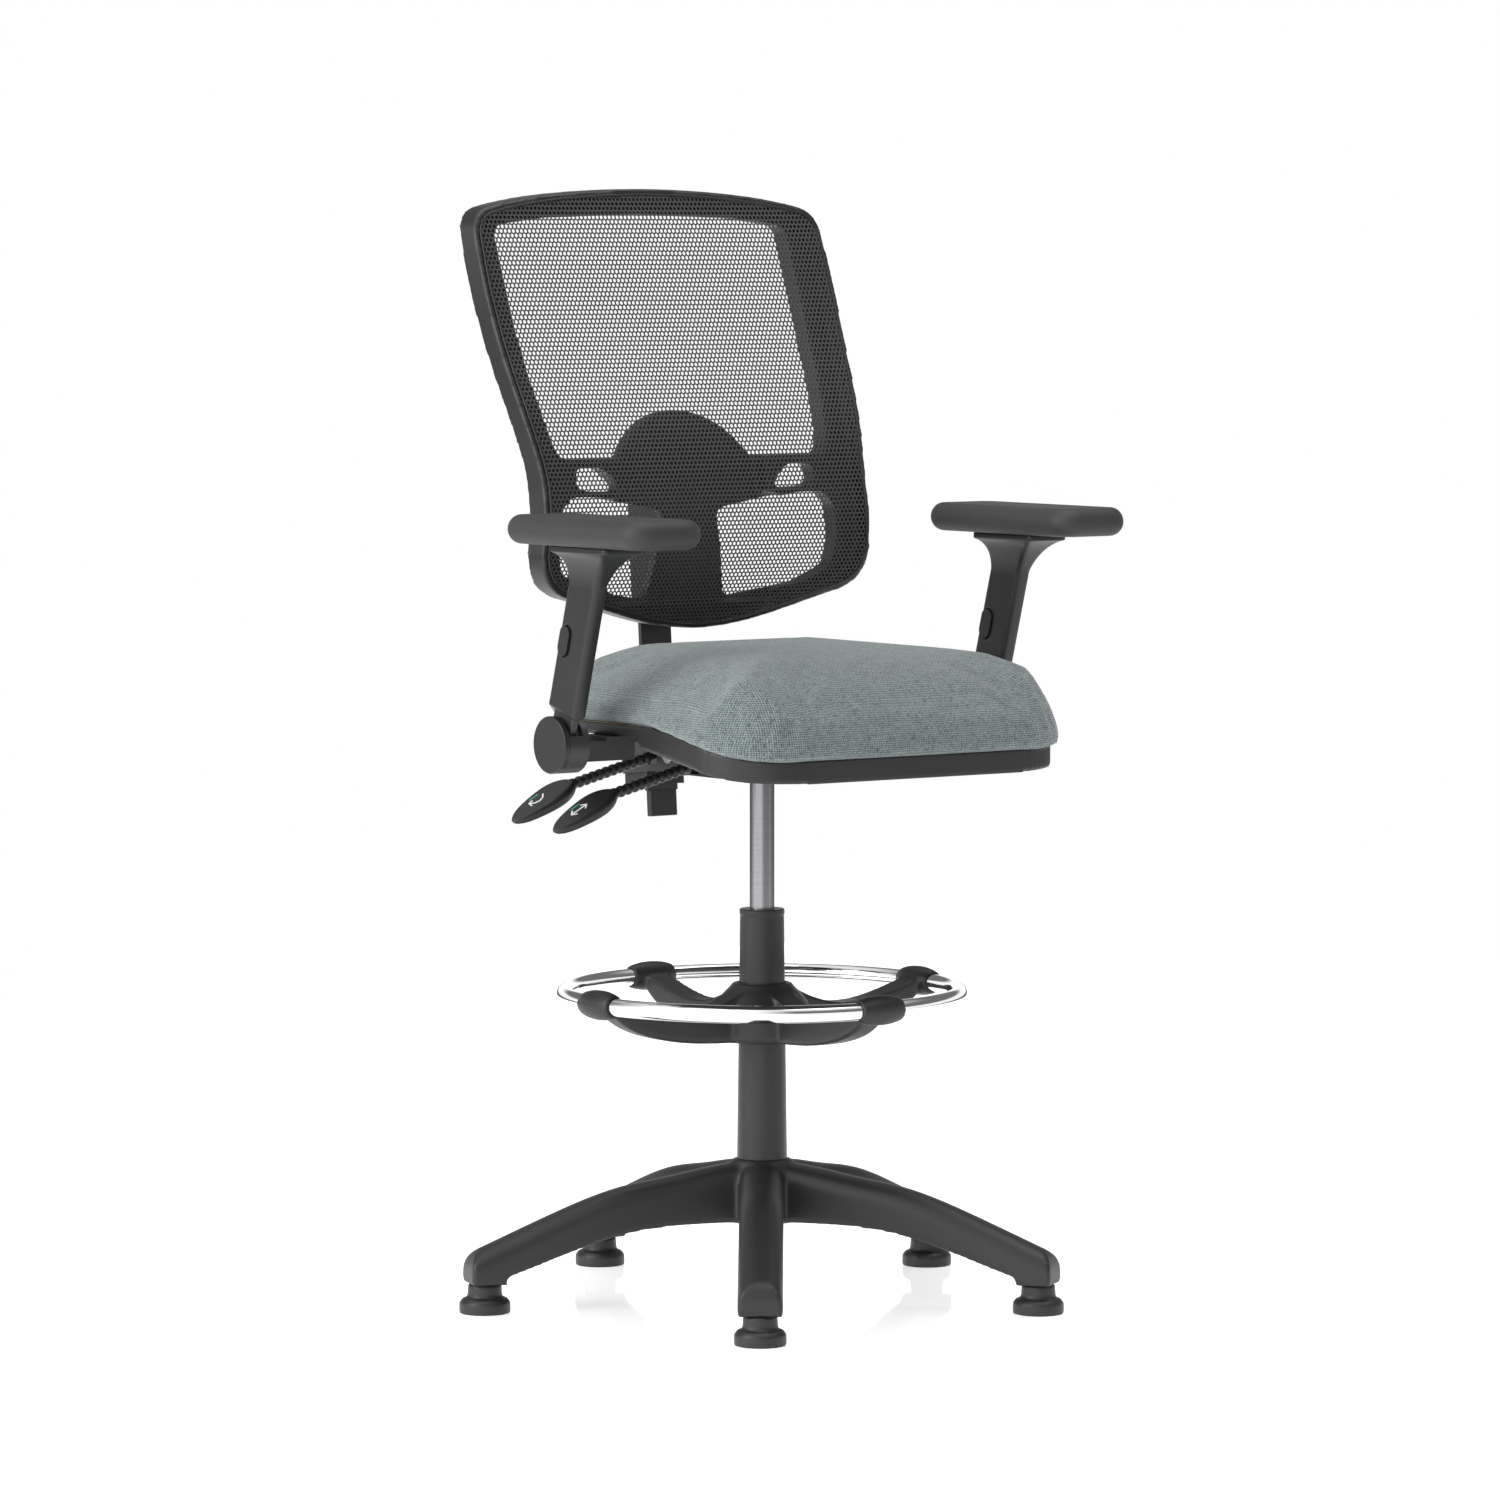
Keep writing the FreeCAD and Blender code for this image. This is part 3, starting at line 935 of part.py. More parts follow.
def arm_parts():
    """Parts of the arm on the sitter's left (+X); the other arm mirrors them, except its button."""
    parts = {}
    inner_x = ARM_X - ARM_POST_WIDTH / 2
    outer_x = ARM_X + ARM_POST_WIDTH / 2
    pivot = (ARM_PIVOT_Y, ARM_PIVOT_Z)
    knuckle = cyl(ARM_KNUCKLE_R, ARM_POST_WIDTH - 0.6, (inner_x + 0.3, *pivot), X_AXIS)
    blade = on_post(rounded_block(-ARM_BLADE_WIDTH / 2, ARM_BLADE_WIDTH / 2, -ARM_BLADE_DEPTH / 2,
                                  ARM_BLADE_DEPTH / 2, 0, ARM_BLADE_LENGTH, 2.5))
    pin_r = 6.0
    pin_bore = cyl(pin_r + RUNNING_FIT, 60, (inner_x - 10, *pivot), X_AXIS)
    blade = fuse([knuckle, blade]).cut(pin_bore)
    cheek_x = inner_x - 8
    inner_cheek = cyl(ARM_DRUM_R, 7.7, (cheek_x, *pivot), X_AXIS)
    skirt = tube(ARM_DRUM_R, ARM_KNUCKLE_R + ROOM, ARM_POST_WIDTH + 0.3, (inner_x - 0.3, *pivot), X_AXIS)
    skirt = skirt.cut(slot_sector())
    cap = cyl(ARM_DRUM_R, 7.0, (outer_x + 0.3, *pivot), X_AXIS)
    cap = rounded(cap, 1.5, lambda e: e.CenterOfMass.x > outer_x + 7)
    pin = cyl(pin_r, outer_x + 5 - cheek_x - 2, (cheek_x + 2, *pivot), X_AXIS)
    bracket_top = PAN_FLAT_Z
    bar = block(208, cheek_x, ARM_PIVOT_Y - 20, ARM_PIVOT_Y + 20, 630, 652)
    plate = block(84, 250, ARM_PIVOT_Y - 26, ARM_PIVOT_Y + 26, 652, bracket_top)
    bracket = fuse([plate, bar, inner_cheek, skirt]).cut(pin)
    cap = cap.cut(pin)
    bolts = []
    for x in (104, 150, 190):
        screw = pan_head_screw(4, 14, 7, 4)
        bolts.append(moved(screw, x, ARM_PIVOT_Y, 652))
    for screw in bolts:
        bracket = bracket.cut(screw)

    sleeve = arm_sleeve()
    pad_z = ARM_PLATE_Z + ARM_PLATE_THICKNESS
    half_l = PAD_LENGTH / 2
    pad = rounded_block(ARM_X - PAD_WIDTH / 2, ARM_X + PAD_WIDTH / 2, PAD_Y - half_l, PAD_Y + half_l, pad_z,
                        pad_z + PAD_THICKNESS, 24)
    pad = pad.makeFillet(13.0, [e for e in pad.Edges if abs(e.CenterOfMass.z - pad_z - PAD_THICKNESS / 2) > 10])
    screws = []
    for y in (ARM_PLATE_Y - 38, ARM_PLATE_Y + 38):
        screws.append(moved(pan_head_screw(3, 20, 5.5, 3), ARM_X, y, ARM_PLATE_Z))
    for screw in screws:
        sleeve = sleeve.cut(screw)
        pad = pad.cut(screw)
    parts["arm_bracket"] = bracket
    parts["arm_pivot_cap"] = cap
    parts["arm_pivot_pin"] = pin
    parts["arm_bracket_bolts"] = group(bolts)
    parts["arm_blade"] = blade
    parts["arm_sleeve"] = sleeve
    parts["arm_pad"] = pad
    parts["arm_pad_screws"] = group(screws)
    return parts


def slot_sector():
    """Opening of the pivot drum that the arm swings through when it folds back."""
    reach = 2 * ARM_DRUM_R
    points = [(0, 0)]
    for degrees in (20, 60, 100, 140, 180, 216):
        a = math.radians(degrees)
        points.append((-reach * math.cos(a), reach * math.sin(a)))
    face = polygon([(ARM_X - 40, ARM_PIVOT_Y + y, ARM_PIVOT_Z + z) for y, z in points])
    return face.extrude(V(80, 0, 0))


def arm_button(arm_x):
    """Oval height button on the face towards -X of the arm at arm_x, and the pocket that it sits in."""
    width, height, travel, proud = 18.0, 34.0, 2.0, 1.8
    face_x = arm_x - ARM_POST_WIDTH / 2
    wall = (ARM_POST_WIDTH - ARM_BLADE_WIDTH) / 2 - 0.2

    def oval(grow, x0, x1):
        w, h = width / 2 + grow, height / 2 + grow
        flat = rounded_block(BUTTON_BACK - w, BUTTON_BACK + w, BUTTON_ALONG - h, BUTTON_ALONG + h, x0, x1,
                             w - 0.1)
        upright = flat.copy()
        upright.rotate(V(0, 0, 0), V(1, 1, 1), 120)
        return upright

    def place(shape):
        out = turn(shape, ARM_LEAN, X_AXIS)
        return moved(out, arm_x, ARM_PIVOT_Y, ARM_PIVOT_Z)

    outer = face_x - arm_x
    button = place(oval(0.0, outer - proud, outer + wall - 0.1))
    pocket = place(oval(ROOM, outer - 10, outer + wall + travel + 0.6))
    recess = place(oval(ROOM + 0.4, outer + wall - 0.3, outer + wall + travel + 0.9))
    rack = moved(turn(block(outer + wall - 0.3, outer + wall + travel + 0.9, BUTTON_BACK - width / 2 - 0.8, 40,
                            BUTTON_ALONG - ARM_RISE - height, ARM_BLADE_LENGTH + 5), ARM_LEAN, X_AXIS),
                 arm_x, ARM_PIVOT_Y, ARM_PIVOT_Z)
    return button, pocket, recess, rack


def all_parts():
    nodes = {}
    nodes.update(base_parts())
    lift, envelope = lift_parts()
    nodes.update(lift)
    nodes.update(foot_ring_parts())
    seat = seat_parts()
    nodes.update(seat)
    nodes.update(mechanism_parts(envelope))
    support, bar_room = back_support_parts()
    nodes.update(support)
    nodes.update(back_parts(bar_room))
    left = arm_parts()
    bolts = nodes["seat_bolts"].Solids
    pins = []
    for side, name in ((1, "left"), (-1, "right")):
        mine = {k: (v if side == 1 else mirrored_x(v)) for k, v in left.items()}
        button, pocket, recess, rack = arm_button(side * ARM_X)
        mine["arm_sleeve"] = mine["arm_sleeve"].cut(pocket)
        mine["arm_blade"] = mine["arm_blade"].cut(rack)
        mine["arm_button"] = button
        for screw in mine.pop("arm_bracket_bolts").Solids:
            nodes["seat_pan"] = nodes["seat_pan"].cut(screw)
            nodes["seat_board"] = nodes["seat_board"].cut(screw)
            bolts.append(screw)
        pins += mine.pop("arm_pivot_pin").Solids
        for key, shape in mine.items():
            nodes[f"{key}_{name}"] = shape
    nodes["seat_bolts"] = group(bolts)
    nodes["arm_pivot_pins"] = group(pins)
    return nodes


os.makedirs("parts", exist_ok=True)
for node, shape in all_parts().items():
    solids = shape.Solids
    good = bool(solids) and all(s.isValid() for s in solids)
    print(f"{node:26s} solids {len(solids):3d}  volume {shape.Volume / 1000:9.1f} cm3  {'ok' if good else 'BAD'}")
    out = solids[0] if len(solids) == 1 else Part.makeCompound(solids)
    out.exportStep(f"parts/{node}.step")
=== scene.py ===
"""Drafting chair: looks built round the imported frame. Lengths are in metres unless a name ends in _MM."""
import json
import math

import bmesh
import bpy
import numpy as np
from mathutils import Matrix, Vector
from mathutils.bvhtree import BVHTree


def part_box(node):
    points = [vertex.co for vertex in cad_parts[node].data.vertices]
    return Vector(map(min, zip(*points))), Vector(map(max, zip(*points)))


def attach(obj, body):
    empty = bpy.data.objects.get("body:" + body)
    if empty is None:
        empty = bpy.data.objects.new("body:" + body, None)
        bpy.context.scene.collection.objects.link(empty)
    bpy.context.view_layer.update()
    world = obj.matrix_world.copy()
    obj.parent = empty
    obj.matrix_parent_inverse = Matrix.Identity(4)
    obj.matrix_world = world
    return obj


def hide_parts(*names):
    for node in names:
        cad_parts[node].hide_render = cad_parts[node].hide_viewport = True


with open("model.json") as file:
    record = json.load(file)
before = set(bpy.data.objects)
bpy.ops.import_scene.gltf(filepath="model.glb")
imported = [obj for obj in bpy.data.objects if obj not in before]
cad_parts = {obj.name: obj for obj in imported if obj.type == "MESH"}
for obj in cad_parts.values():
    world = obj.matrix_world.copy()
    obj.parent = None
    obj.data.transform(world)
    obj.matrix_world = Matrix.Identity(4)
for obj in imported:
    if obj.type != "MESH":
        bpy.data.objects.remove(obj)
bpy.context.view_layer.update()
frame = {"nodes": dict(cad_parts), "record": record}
NODES = frame["nodes"]

MM = 0.001

# Mesh of the back
HOLE_PITCH = 5.55 * MM          # hole to hole along a row
ROW_LOW = 4.3 * MM              # row to row at the lumbar bulge
ROW_HIGH = 5.5 * MM             # and above it, where the mesh is pulled longer
ROW_LOW_Z = 0.80
ROW_HIGH_Z = 0.98
HOLE_SHARE = 0.70               # hole width over cell width
MESH_THICKNESS = 0.75 * MM
EDGE_BEAD_R = 1.3 * MM
EDGE_BEAD_INSET = 4.0 * MM      # the bead's centre line, in from the sheet's edge
EDGE_BEAD_PROUD = 0.2 * MM
LAST_COLUMN = 60                # columns of holes on each side of the middle, past the widest part
SURFACE_SAMPLES = 240
OUTLINE_POINTS = 220
OUTLINE_HALVINGS = 22

# Seat cushion
CUSHION_VOXEL = 5.0 * MM
CUSHION_START = 4.0 * MM        # the cover starts this much inside the solid, and then swells
CUSHION_CAP = 7.0 * MM
CUSHION_TUCK = 2.5 * MM         # the lower edge is pulled down this much on the pan's rim
CUSHION_STEPS = 20
CUSHION_PRESSURE = 4.0
CUSHION_FOOT_RISE = 45.0 * MM   # the lower edge is this much higher behind than in front
CUSHION_FOOT_FRONT = 40.0 * MM  # and rises between these distances from the front edge
CUSHION_FOOT_REAR = 200.0 * MM
CUSHION_CORNER = 100.0 * MM     # corner of the seat in plan
CUSHION_SIDE_Z = 0.69           # the side starts to roll over at this height
CUSHION_ROLL = 92.0 * MM        # width of the roll, in from the edge
CUSHION_WAIST = 6.0 * MM        # the lower edge is drawn in by this much
CUSHION_WAIST_HEIGHT = 24.0 * MM
CUSHION_BULGE = 8.0 * MM        # the side stands out this much, half way up
CUSHION_BULGE_HEIGHT = 64.0 * MM
CUSHION_SIDE_DEPTH = 40.0 * MM  # the waist and the bulge fade out this far in from the edge
WEAVE_PITCH = 2.4 * MM

# Arm pads
PAD_CORNER = 27.0 * MM
PAD_EDGE = 15.5 * MM
PAD_CROWN = 1.5 * MM
PAD_EDGE_STEPS = 16
PAD_FLAT_RINGS = 8              # rings across the flat top, and across the underside
PAD_CORNER_STEPS = 10

# Marks on the paddles; strokes are lists of points in millimetres, along and across the paddle
PADDLE_SLOPE = math.radians(26.0)
PADDLE_TWIST = math.radians(20.0)
PADDLE_MIDDLE = 40.0 * MM       # from the paddle's tip to the middle of its mark
STROKE = 1.7 * MM               # width of a printed stroke
STROKE_STEPS = 6                # a straight run is laid in this many steps
MARK_REACH = 30.0 * MM          # rays start this far above the face
INK_PROUD = 0.12 * MM
UP_AND_DOWN = [[(-11, 0), (11, 0)], [(-6, -4.5), (-11.5, 0), (-6, 4.5)], [(6, -4.5), (11.5, 0), (6, 4.5)]]
LEAN_BACK = [[(-11, 3.5), (-6, -1.5), (0, -3.2), (6, -1.5), (10, 2.5)],
             [(4.5, 4.2), (10.6, 3.2), (11.2, -2.8)]]
BASE_LINE = [[(-7, 7.2), (7, 7.2)]]

# Stage, light and camera
FLOOR_GLOW = 0.55
FLOOR_HALF = 3.2
SKYLINE_LEVEL = 0.9
ROOM_LEVEL = 0.17               # the studio's dim walls
LEFT_WALL = Vector((-0.95, -0.18, 0.25)).normalized()
CAMERA_LENS_MM = 166.09
CAMERA_PLACE = (-4.568, -6.364, 1.2163)
CAMERA_TURN = (math.radians(85.709), 0, math.radians(-35.57))

BLACKENED = ("seat_bolts", "arm_pad_screws_left", "arm_pad_screws_right")
MERGE = 0.01 * MM               # vertices of a CAD node nearer than this are one

BODY_OF = {}
for body_name, body_nodes in frame["record"]["behaviour"]["bodies"].items():
    for node_name in body_nodes:
        BODY_OF[node_name] = body_name


# ---------------------------------------------------------------- shader maths
class Wire:
    """A node socket that takes part in Python expressions."""

    def __init__(self, material, socket):
        self.material = material
        self.socket = socket

    def node(self, kind, inputs=(), output=0, **settings):
        return add_node(self.material, kind, inputs, output, **settings)

    def math(self, operation, *others):
        return self.node("ShaderNodeMath", [self, *others], operation=operation)

    def __add__(self, other):
        return self.math("ADD", other)

    __radd__ = __add__

    def __sub__(self, other):
        return self.math("SUBTRACT", other)

    def __rsub__(self, other):
        return add_node(self.material, "ShaderNodeMath", [other, self], operation="SUBTRACT")

    def __mul__(self, other):
        return self.math("MULTIPLY", other)

    __rmul__ = __mul__

    def sine(self):
        return self.math("SINE")

    def absolute(self):
        return self.math("ABSOLUTE")

    def smoothstep(self, low, high):
        return self.node("ShaderNodeMapRange", {"Value": self, "From Min": low, "From Max": high},
                         interpolation_type="SMOOTHSTEP")

    def mix(self, a, b):
        """Colour a where this is 0, colour b where it is 1."""
        return self.node("ShaderNodeMix", {0: self, 6: a, 7: b}, output=2, data_type="RGBA")


def add_node(material, kind, inputs=(), output=0, **settings):
    """Adds a node: settings first, then the values or links of its sockets; returns one output as a Wire."""
    node = material.node_tree.nodes.new(kind)
    for name, value in settings.items():
        if name == "stops":
            for stop in node.color_ramp.elements[2:]:
                node.color_ramp.elements.remove(stop)
            for index, (place, colour) in enumerate(value):
                elements = node.color_ramp.elements
                stop = elements[index] if index < len(elements) else elements.new(place)
                stop.position = place
                stop.color = colour
        else:
            setattr(node, name, value)
    pairs = inputs.items() if isinstance(inputs, dict) else enumerate(inputs)
    for key, value in pairs:
        if isinstance(value, Wire):
            material.node_tree.links.new(value.socket, node.inputs[key])
        elif value is not None:
            node.inputs[key].default_value = value
    return Wire(material, node.outputs[output])


def new_material(name, colour, roughness, **sockets):
    """A material with one Principled shader; returns the material and its shader node."""
    material = bpy.data.materials.new(name)
    material.use_nodes = True
    shader = material.node_tree.nodes["Principled BSDF"]
    shader.inputs["Base Color"].default_value = (*colour, 1)
    shader.inputs["Roughness"].default_value = roughness
    for socket, value in sockets.items():
        shader.inputs[socket.replace("_", " ")].default_value = value
    return material, shader


def feed(shader, socket, wire):
    wire.material.node_tree.links.new(wire.socket, shader.inputs[socket])


def object_place(material):
    return add_node(material, "ShaderNodeTexCoord", output=3)


def noise(place, scale, detail=2.0, rough=0.5):
    return place.node("ShaderNodeTexNoise",
                      {"Vector": place, "Scale": scale, "Detail": detail, "Roughness": rough})


def bump(wire, strength, distance, normal=None):
    inputs = {"Height": wire, "Strength": strength, "Distance": distance}
    if normal is not None:
        inputs["Normal"] = normal
    return wire.node("ShaderNodeBump", inputs)


def split(place):
    """The x, y and z of a vector."""
    node = place.material.node_tree.nodes.new("ShaderNodeSeparateXYZ")
    place.material.node_tree.links.new(place.socket, node.inputs[0])
    return [Wire(place.material, out) for out in node.outputs]


# ---------------------------------------------------------------- finishes
def moulded_nylon(name, shade, roughness, grain=0.00006, grain_scale=1500):
    """Black moulded plastic: fine spark-eroded grain, faint flow shading and slightly polished high spots."""
    material, shader = new_material(name, (shade, shade, shade * 1.03), roughness, Specular_IOR_Level=0.42)
    place = object_place(material)
    cloud = noise(place, 9.0, 3.0)
    fine = noise(place, grain_scale, 2.0, 0.6)
    tone = cloud.mix((shade * 0.9, shade * 0.9, shade * 0.92, 1),
                     (shade * 1.12, shade * 1.12, shade * 1.15, 1))
    feed(shader, "Base Color", tone)
    feed(shader, "Roughness", cloud * 0.08 + (roughness - 0.06) + fine * 0.06)
    feed(shader, "Normal", bump(fine, 0.35, grain))
    return material


def painted_steel():
    """Black powder coat: orange-peel ripple under a satin skin."""
    material, shader = new_material("black_powder_coat", (0.02, 0.02, 0.021), 0.42, Specular_IOR_Level=0.5)
    place = object_place(material)
    peel = noise(place, 420, 2.0, 0.5)
    cloud = noise(place, 14, 2.0)
    feed(shader, "Base Color", cloud.mix((0.016, 0.016, 0.017, 1), (0.025, 0.025, 0.026, 1)))
    feed(shader, "Roughness", cloud * 0.1 + 0.36)
    feed(shader, "Normal", bump(peel, 0.3, 0.00015))
    return material


def brushed_metal(name, shade, roughness, stretch):
    """Ground metal: fine scratches that run across the stretched axis."""
    material, shader = new_material(name, (shade, shade, shade * 1.02), roughness, Metallic=1.0)
    place = object_place(material)
    lines = place.node("ShaderNodeMapping", {"Vector": place, "Scale": stretch})
    scratches = noise(lines, 60, 4.0, 0.65)
    smears = noise(place, 18, 3.0)
    feed(shader, "Base Color", smears.mix((shade * 0.86, shade * 0.86, shade * 0.88, 1),
                                          (shade * 1.1, shade * 1.1, shade * 1.12, 1)))
    feed(shader, "Roughness", scratches * 0.16 + smears * 0.08 + (roughness - 0.1))
    feed(shader, "Normal", bump(scratches, 0.12, 0.0001))
    return material


def satin_rod():
    """Ground steel of the lift's pressure tube: smooth, dark, with faint bands round it."""
    material, shader = new_material("dark_lift_rod", (0.3, 0.3, 0.31), 0.24, Metallic=1.0)
    place = object_place(material)
    bands = noise(place.node("ShaderNodeMapping", {"Vector": place, "Scale": (1, 1, 60)}), 6, 3.0, 0.6)
    feed(shader, "Base Color", bands.mix((0.26, 0.26, 0.27, 1), (0.34, 0.34, 0.35, 1)))
    feed(shader, "Roughness", bands * 0.06 + 0.2)
    return material


def bright_chrome():
    material, shader = new_material("bright_chrome", (0.86, 0.87, 0.88), 0.05, Metallic=1.0)
    place = object_place(material)
    smears = noise(place, 22, 4.0, 0.6)
    feed(shader, "Base Color", smears.mix((0.8, 0.81, 0.82, 1), (0.92, 0.92, 0.93, 1)))
    feed(shader, "Roughness", smears.smoothstep(0.35, 0.8) * 0.07 + 0.035)
    return material


def soft_foam():
    """Self-skinned foam of the arm pads: matte, with a fine leather-like grain."""
    material, shader = new_material("arm_pad_skin", (0.03, 0.03, 0.032), 0.62, Specular_IOR_Level=0.4)
    place = object_place(material)
    pebbles = place.node("ShaderNodeTexVoronoi", {"Vector": place, "Scale": 900}, feature="SMOOTH_F1")
    cloud = noise(place, 12, 3.0)
    feed(shader, "Base Color", cloud.mix((0.025, 0.025, 0.027, 1), (0.037, 0.037, 0.039, 1)))
    feed(shader, "Roughness", cloud * 0.12 + 0.54)
    feed(shader, "Normal", bump(pebbles, 0.25, 0.00012))
    return material


def black_rubber():
    material, shader = new_material("black_rubber", (0.02, 0.02, 0.02), 0.75)
    place = object_place(material)
    cloud = noise(place, 60, 3.0)
    feed(shader, "Base Color", cloud.mix((0.016, 0.016, 0.016, 1), (0.03, 0.03, 0.029, 1)))
    feed(shader, "Normal", bump(noise(place, 700, 2.0), 0.3, 0.0001))
    return material


def birch_plywood():
    material, shader = new_material("birch_plywood", (0.6, 0.44, 0.28), 0.6)
    place = object_place(material)
    plies = (split(place)[2] * 2094.0).sine().smoothstep(-0.3, 0.3)
    fibres = noise(place.node("ShaderNodeMapping", {"Vector": place, "Scale": (12, 160, 160)}), 6, 4.0)
    feed(shader, "Base Color", (plies * 0.5 + fibres * 0.6).mix((0.42, 0.27, 0.15, 1), (0.72, 0.56, 0.38, 1)))
    feed(shader, "Normal", bump(fibres, 0.3, 0.0002))
    return material


def white_acetal():
    material, shader = new_material("white_acetal", (0.78, 0.78, 0.76), 0.4)
    place = object_place(material)
    cloud = noise(place, 40, 3.0)
    feed(shader, "Base Color", cloud.mix((0.7, 0.7, 0.68, 1), (0.82, 0.82, 0.8, 1)))
    feed(shader, "Normal", bump(noise(place, 900, 2.0), 0.2, 0.0001))
    return material


def black_yarn():
    """Knitted yarn of the back's mesh: matte threads with a faint sheen along them."""
    material, shader = new_material("black_mesh_yarn", (0.03, 0.03, 0.032), 0.6, Sheen_Weight=0.25,
                                    Sheen_Roughness=0.4)
    place = object_place(material)
    twist = noise(place.node("ShaderNodeMapping", {"Vector": place, "Scale": (1, 1, 3)}), 1400, 2.0, 0.6)
    cloud = noise(place, 25, 2.0)
    tone = (twist * 0.7 + cloud * 0.3).mix((0.022, 0.022, 0.023, 1), (0.055, 0.055, 0.057, 1))
    feed(shader, "Base Color", tone)
    feed(shader, "Roughness", twist * 0.2 + 0.5)
    feed(shader, "Normal", bump(twist, 0.5, 0.0002))
    return material


def weave_on(a, b, wobble, pitch):
    """Height of a plain weave over the plane of a and b: 0 between threads, 1 on their crowns."""
    turns = math.pi / pitch
    across = (a * turns + wobble).sine()
    along = (b * turns + wobble).sine()
    over = (across * along).smoothstep(-0.25, 0.25)
    warp = across.absolute()
    weft = along.absolute()
    return over * warp + (1 - over) * weft


def melange_cloth():
    """Grey-teal woven upholstery: plain weave of flecked yarns with painted shade in the gaps between the
    threads, projected along the nearest axis.
    """
    material, shader = new_material("melange_cloth", (0.19, 0.25, 0.245), 0.85, Sheen_Weight=0.35,
                                    Sheen_Roughness=0.5, Specular_IOR_Level=0.25)
    place = object_place(material)
    x, y, z = split(place)
    normal = add_node(material, "ShaderNodeNewGeometry", output=1)
    facing = [n.absolute() for n in split(normal)]
    wobble = noise(place, 16, 2.0) * 5.0
    top = weave_on(x, y, wobble, WEAVE_PITCH)
    front = weave_on(x, z, wobble, WEAVE_PITCH)
    side = weave_on(y, z, wobble, WEAVE_PITCH)
    is_top = (facing[2] - 0.62).smoothstep(-0.06, 0.06)
    is_front = (facing[1] - facing[0]).smoothstep(-0.06, 0.06)
    upright = is_front * front + (1 - is_front) * side
    weave = is_top * top + (1 - is_top) * upright
    yarn_tone = noise(place, 640, 2.0, 0.75).smoothstep(0.34, 0.62)
    slub = noise(place, 95, 3.0, 0.6).smoothstep(0.3, 0.7)
    fleck = yarn_tone * 0.7 + slub * 0.3
    yarn = fleck.mix((0.11, 0.138, 0.137, 1), (0.285, 0.345, 0.342, 1))
    spots = noise(place, 310, 2.0, 0.55).smoothstep(0.53, 0.68)
    yarn = (spots * 0.62).mix(yarn, (0.035, 0.05, 0.052, 1))
    # Painted shade: the hollows between the threads are coloured near black, and the same mask makes the
    # thread crowns a little less rough.
    gap_shade_and_gloss_mask = weave.smoothstep(0.2, 0.72)
    feed(shader, "Base Color", gap_shade_and_gloss_mask.mix((0.022, 0.031, 0.032, 1), yarn))
    feed(shader, "Roughness", 0.95 - gap_shade_and_gloss_mask * 0.15)
    fuzz = noise(place, 1800, 2.0, 0.7)
    feed(shader, "Normal", bump(weave + fuzz * 0.25, 0.8, 0.0007))
    return material


def printed_ink(name, colour):
    material, shader = new_material(name, colour, 0.45)
    place = object_place(material)
    speckle = noise(place, 1500, 2.0)
    dim = tuple(c * 0.85 for c in colour)
    feed(shader, "Base Color", speckle.mix((*dim, 1), (*colour, 1)))
    return material


FINISH = {
    "black_nylon": moulded_nylon("black_nylon_satin", 0.017, 0.42),
    "black_frame": moulded_nylon("black_frame_satin", 0.016, 0.38),
    "black_steel": painted_steel(),
    "bare_steel": brushed_metal("zinc_plated_steel", 0.5, 0.35, (1, 1, 12)),
    "dark_rod": satin_rod(),
    "chrome": bright_chrome(),
    "pad_foam": soft_foam(),
    "soft_rubber": black_rubber(),
    "plywood": birch_plywood(),
    "white_plastic": white_acetal(),
    "seat_fabric": melange_cloth(),
    "mesh_fabric": black_yarn(),
}
SLOT_OF = {s["node"]: s["material_slot"] for s in frame["record"]["subparts"]}


def paint_nodes():
    for name, node in NODES.items():
        finish = FINISH["black_steel"] if name in BLACKENED else FINISH[SLOT_OF[name]]
        if not node.material_slots:
            node.data.materials.append(finish)
        for one in node.material_slots:
            one.material = finish


# ---------------------------------------------------------------- mesh helpers
def add_mesh(name, vertices, faces, finish=None):
    mesh = bpy.data.meshes.new(name)
    mesh.from_pydata([tuple(v) for v in vertices], [], faces)
    mesh.update()
    piece = bpy.data.objects.new(name, mesh)
    bpy.context.scene.collection.objects.link(piece)
    if finish is not None:
        mesh.materials.append(finish)
    return piece


def shade_smooth(piece, angle=None):
    for polygon in piece.data.polygons:
        polygon.use_smooth = True
    if angle is not None:
        piece.data.set_sharp_from_angle(angle=math.radians(angle))


def bake_modifiers(piece):
    """Applies every modifier, so that the piece is a plain mesh."""
    depsgraph = bpy.context.evaluated_depsgraph_get()
    mesh = bpy.data.meshes.new_from_object(piece.evaluated_get(depsgraph))
    piece.modifiers.clear()
    old = piece.data
    piece.data = mesh
    bpy.data.meshes.remove(old)


def copy_of(node, name):
    """A merged, separate copy of a CAD node's mesh."""
    source = NODES[node]
    mesh = source.data.copy()
    mesh.transform(source.matrix_world)
    mesh.materials.clear()
    piece = bpy.data.objects.new(name, mesh)
    bpy.context.scene.collection.objects.link(piece)
    shape = bmesh.new()
    shape.from_mesh(mesh)
    bmesh.ops.remove_doubles(shape, verts=shape.verts, dist=MERGE)
    shape.to_mesh(mesh)
    shape.free()
    return piece


def softened(node, name, voxel, rounds, factor=0.5):
    """A moulded piece in place of its node: the same shape with small radii on every edge."""
    piece = copy_of(node, name)
    remesh = piece.modifiers.new("skin", "REMESH")
    remesh.mode = "VOXEL"
    remesh.voxel_size = voxel
    smooth = piece.modifiers.new("radii", "SMOOTH")
    smooth.factor = factor
    smooth.iterations = rounds
    bake_modifiers(piece)
    piece.data.materials.clear()
    piece.data.materials.append(FINISH[SLOT_OF[node]])
    shade_smooth(piece)
    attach(piece, BODY_OF[node])
    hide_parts(node)
    return piece


def surface_tree(piece):
    mesh = piece.data
    return BVHTree.FromPolygons([piece.matrix_world @ v.co for v in mesh.vertices],
                                [tuple(p.vertices) for p in mesh.polygons])


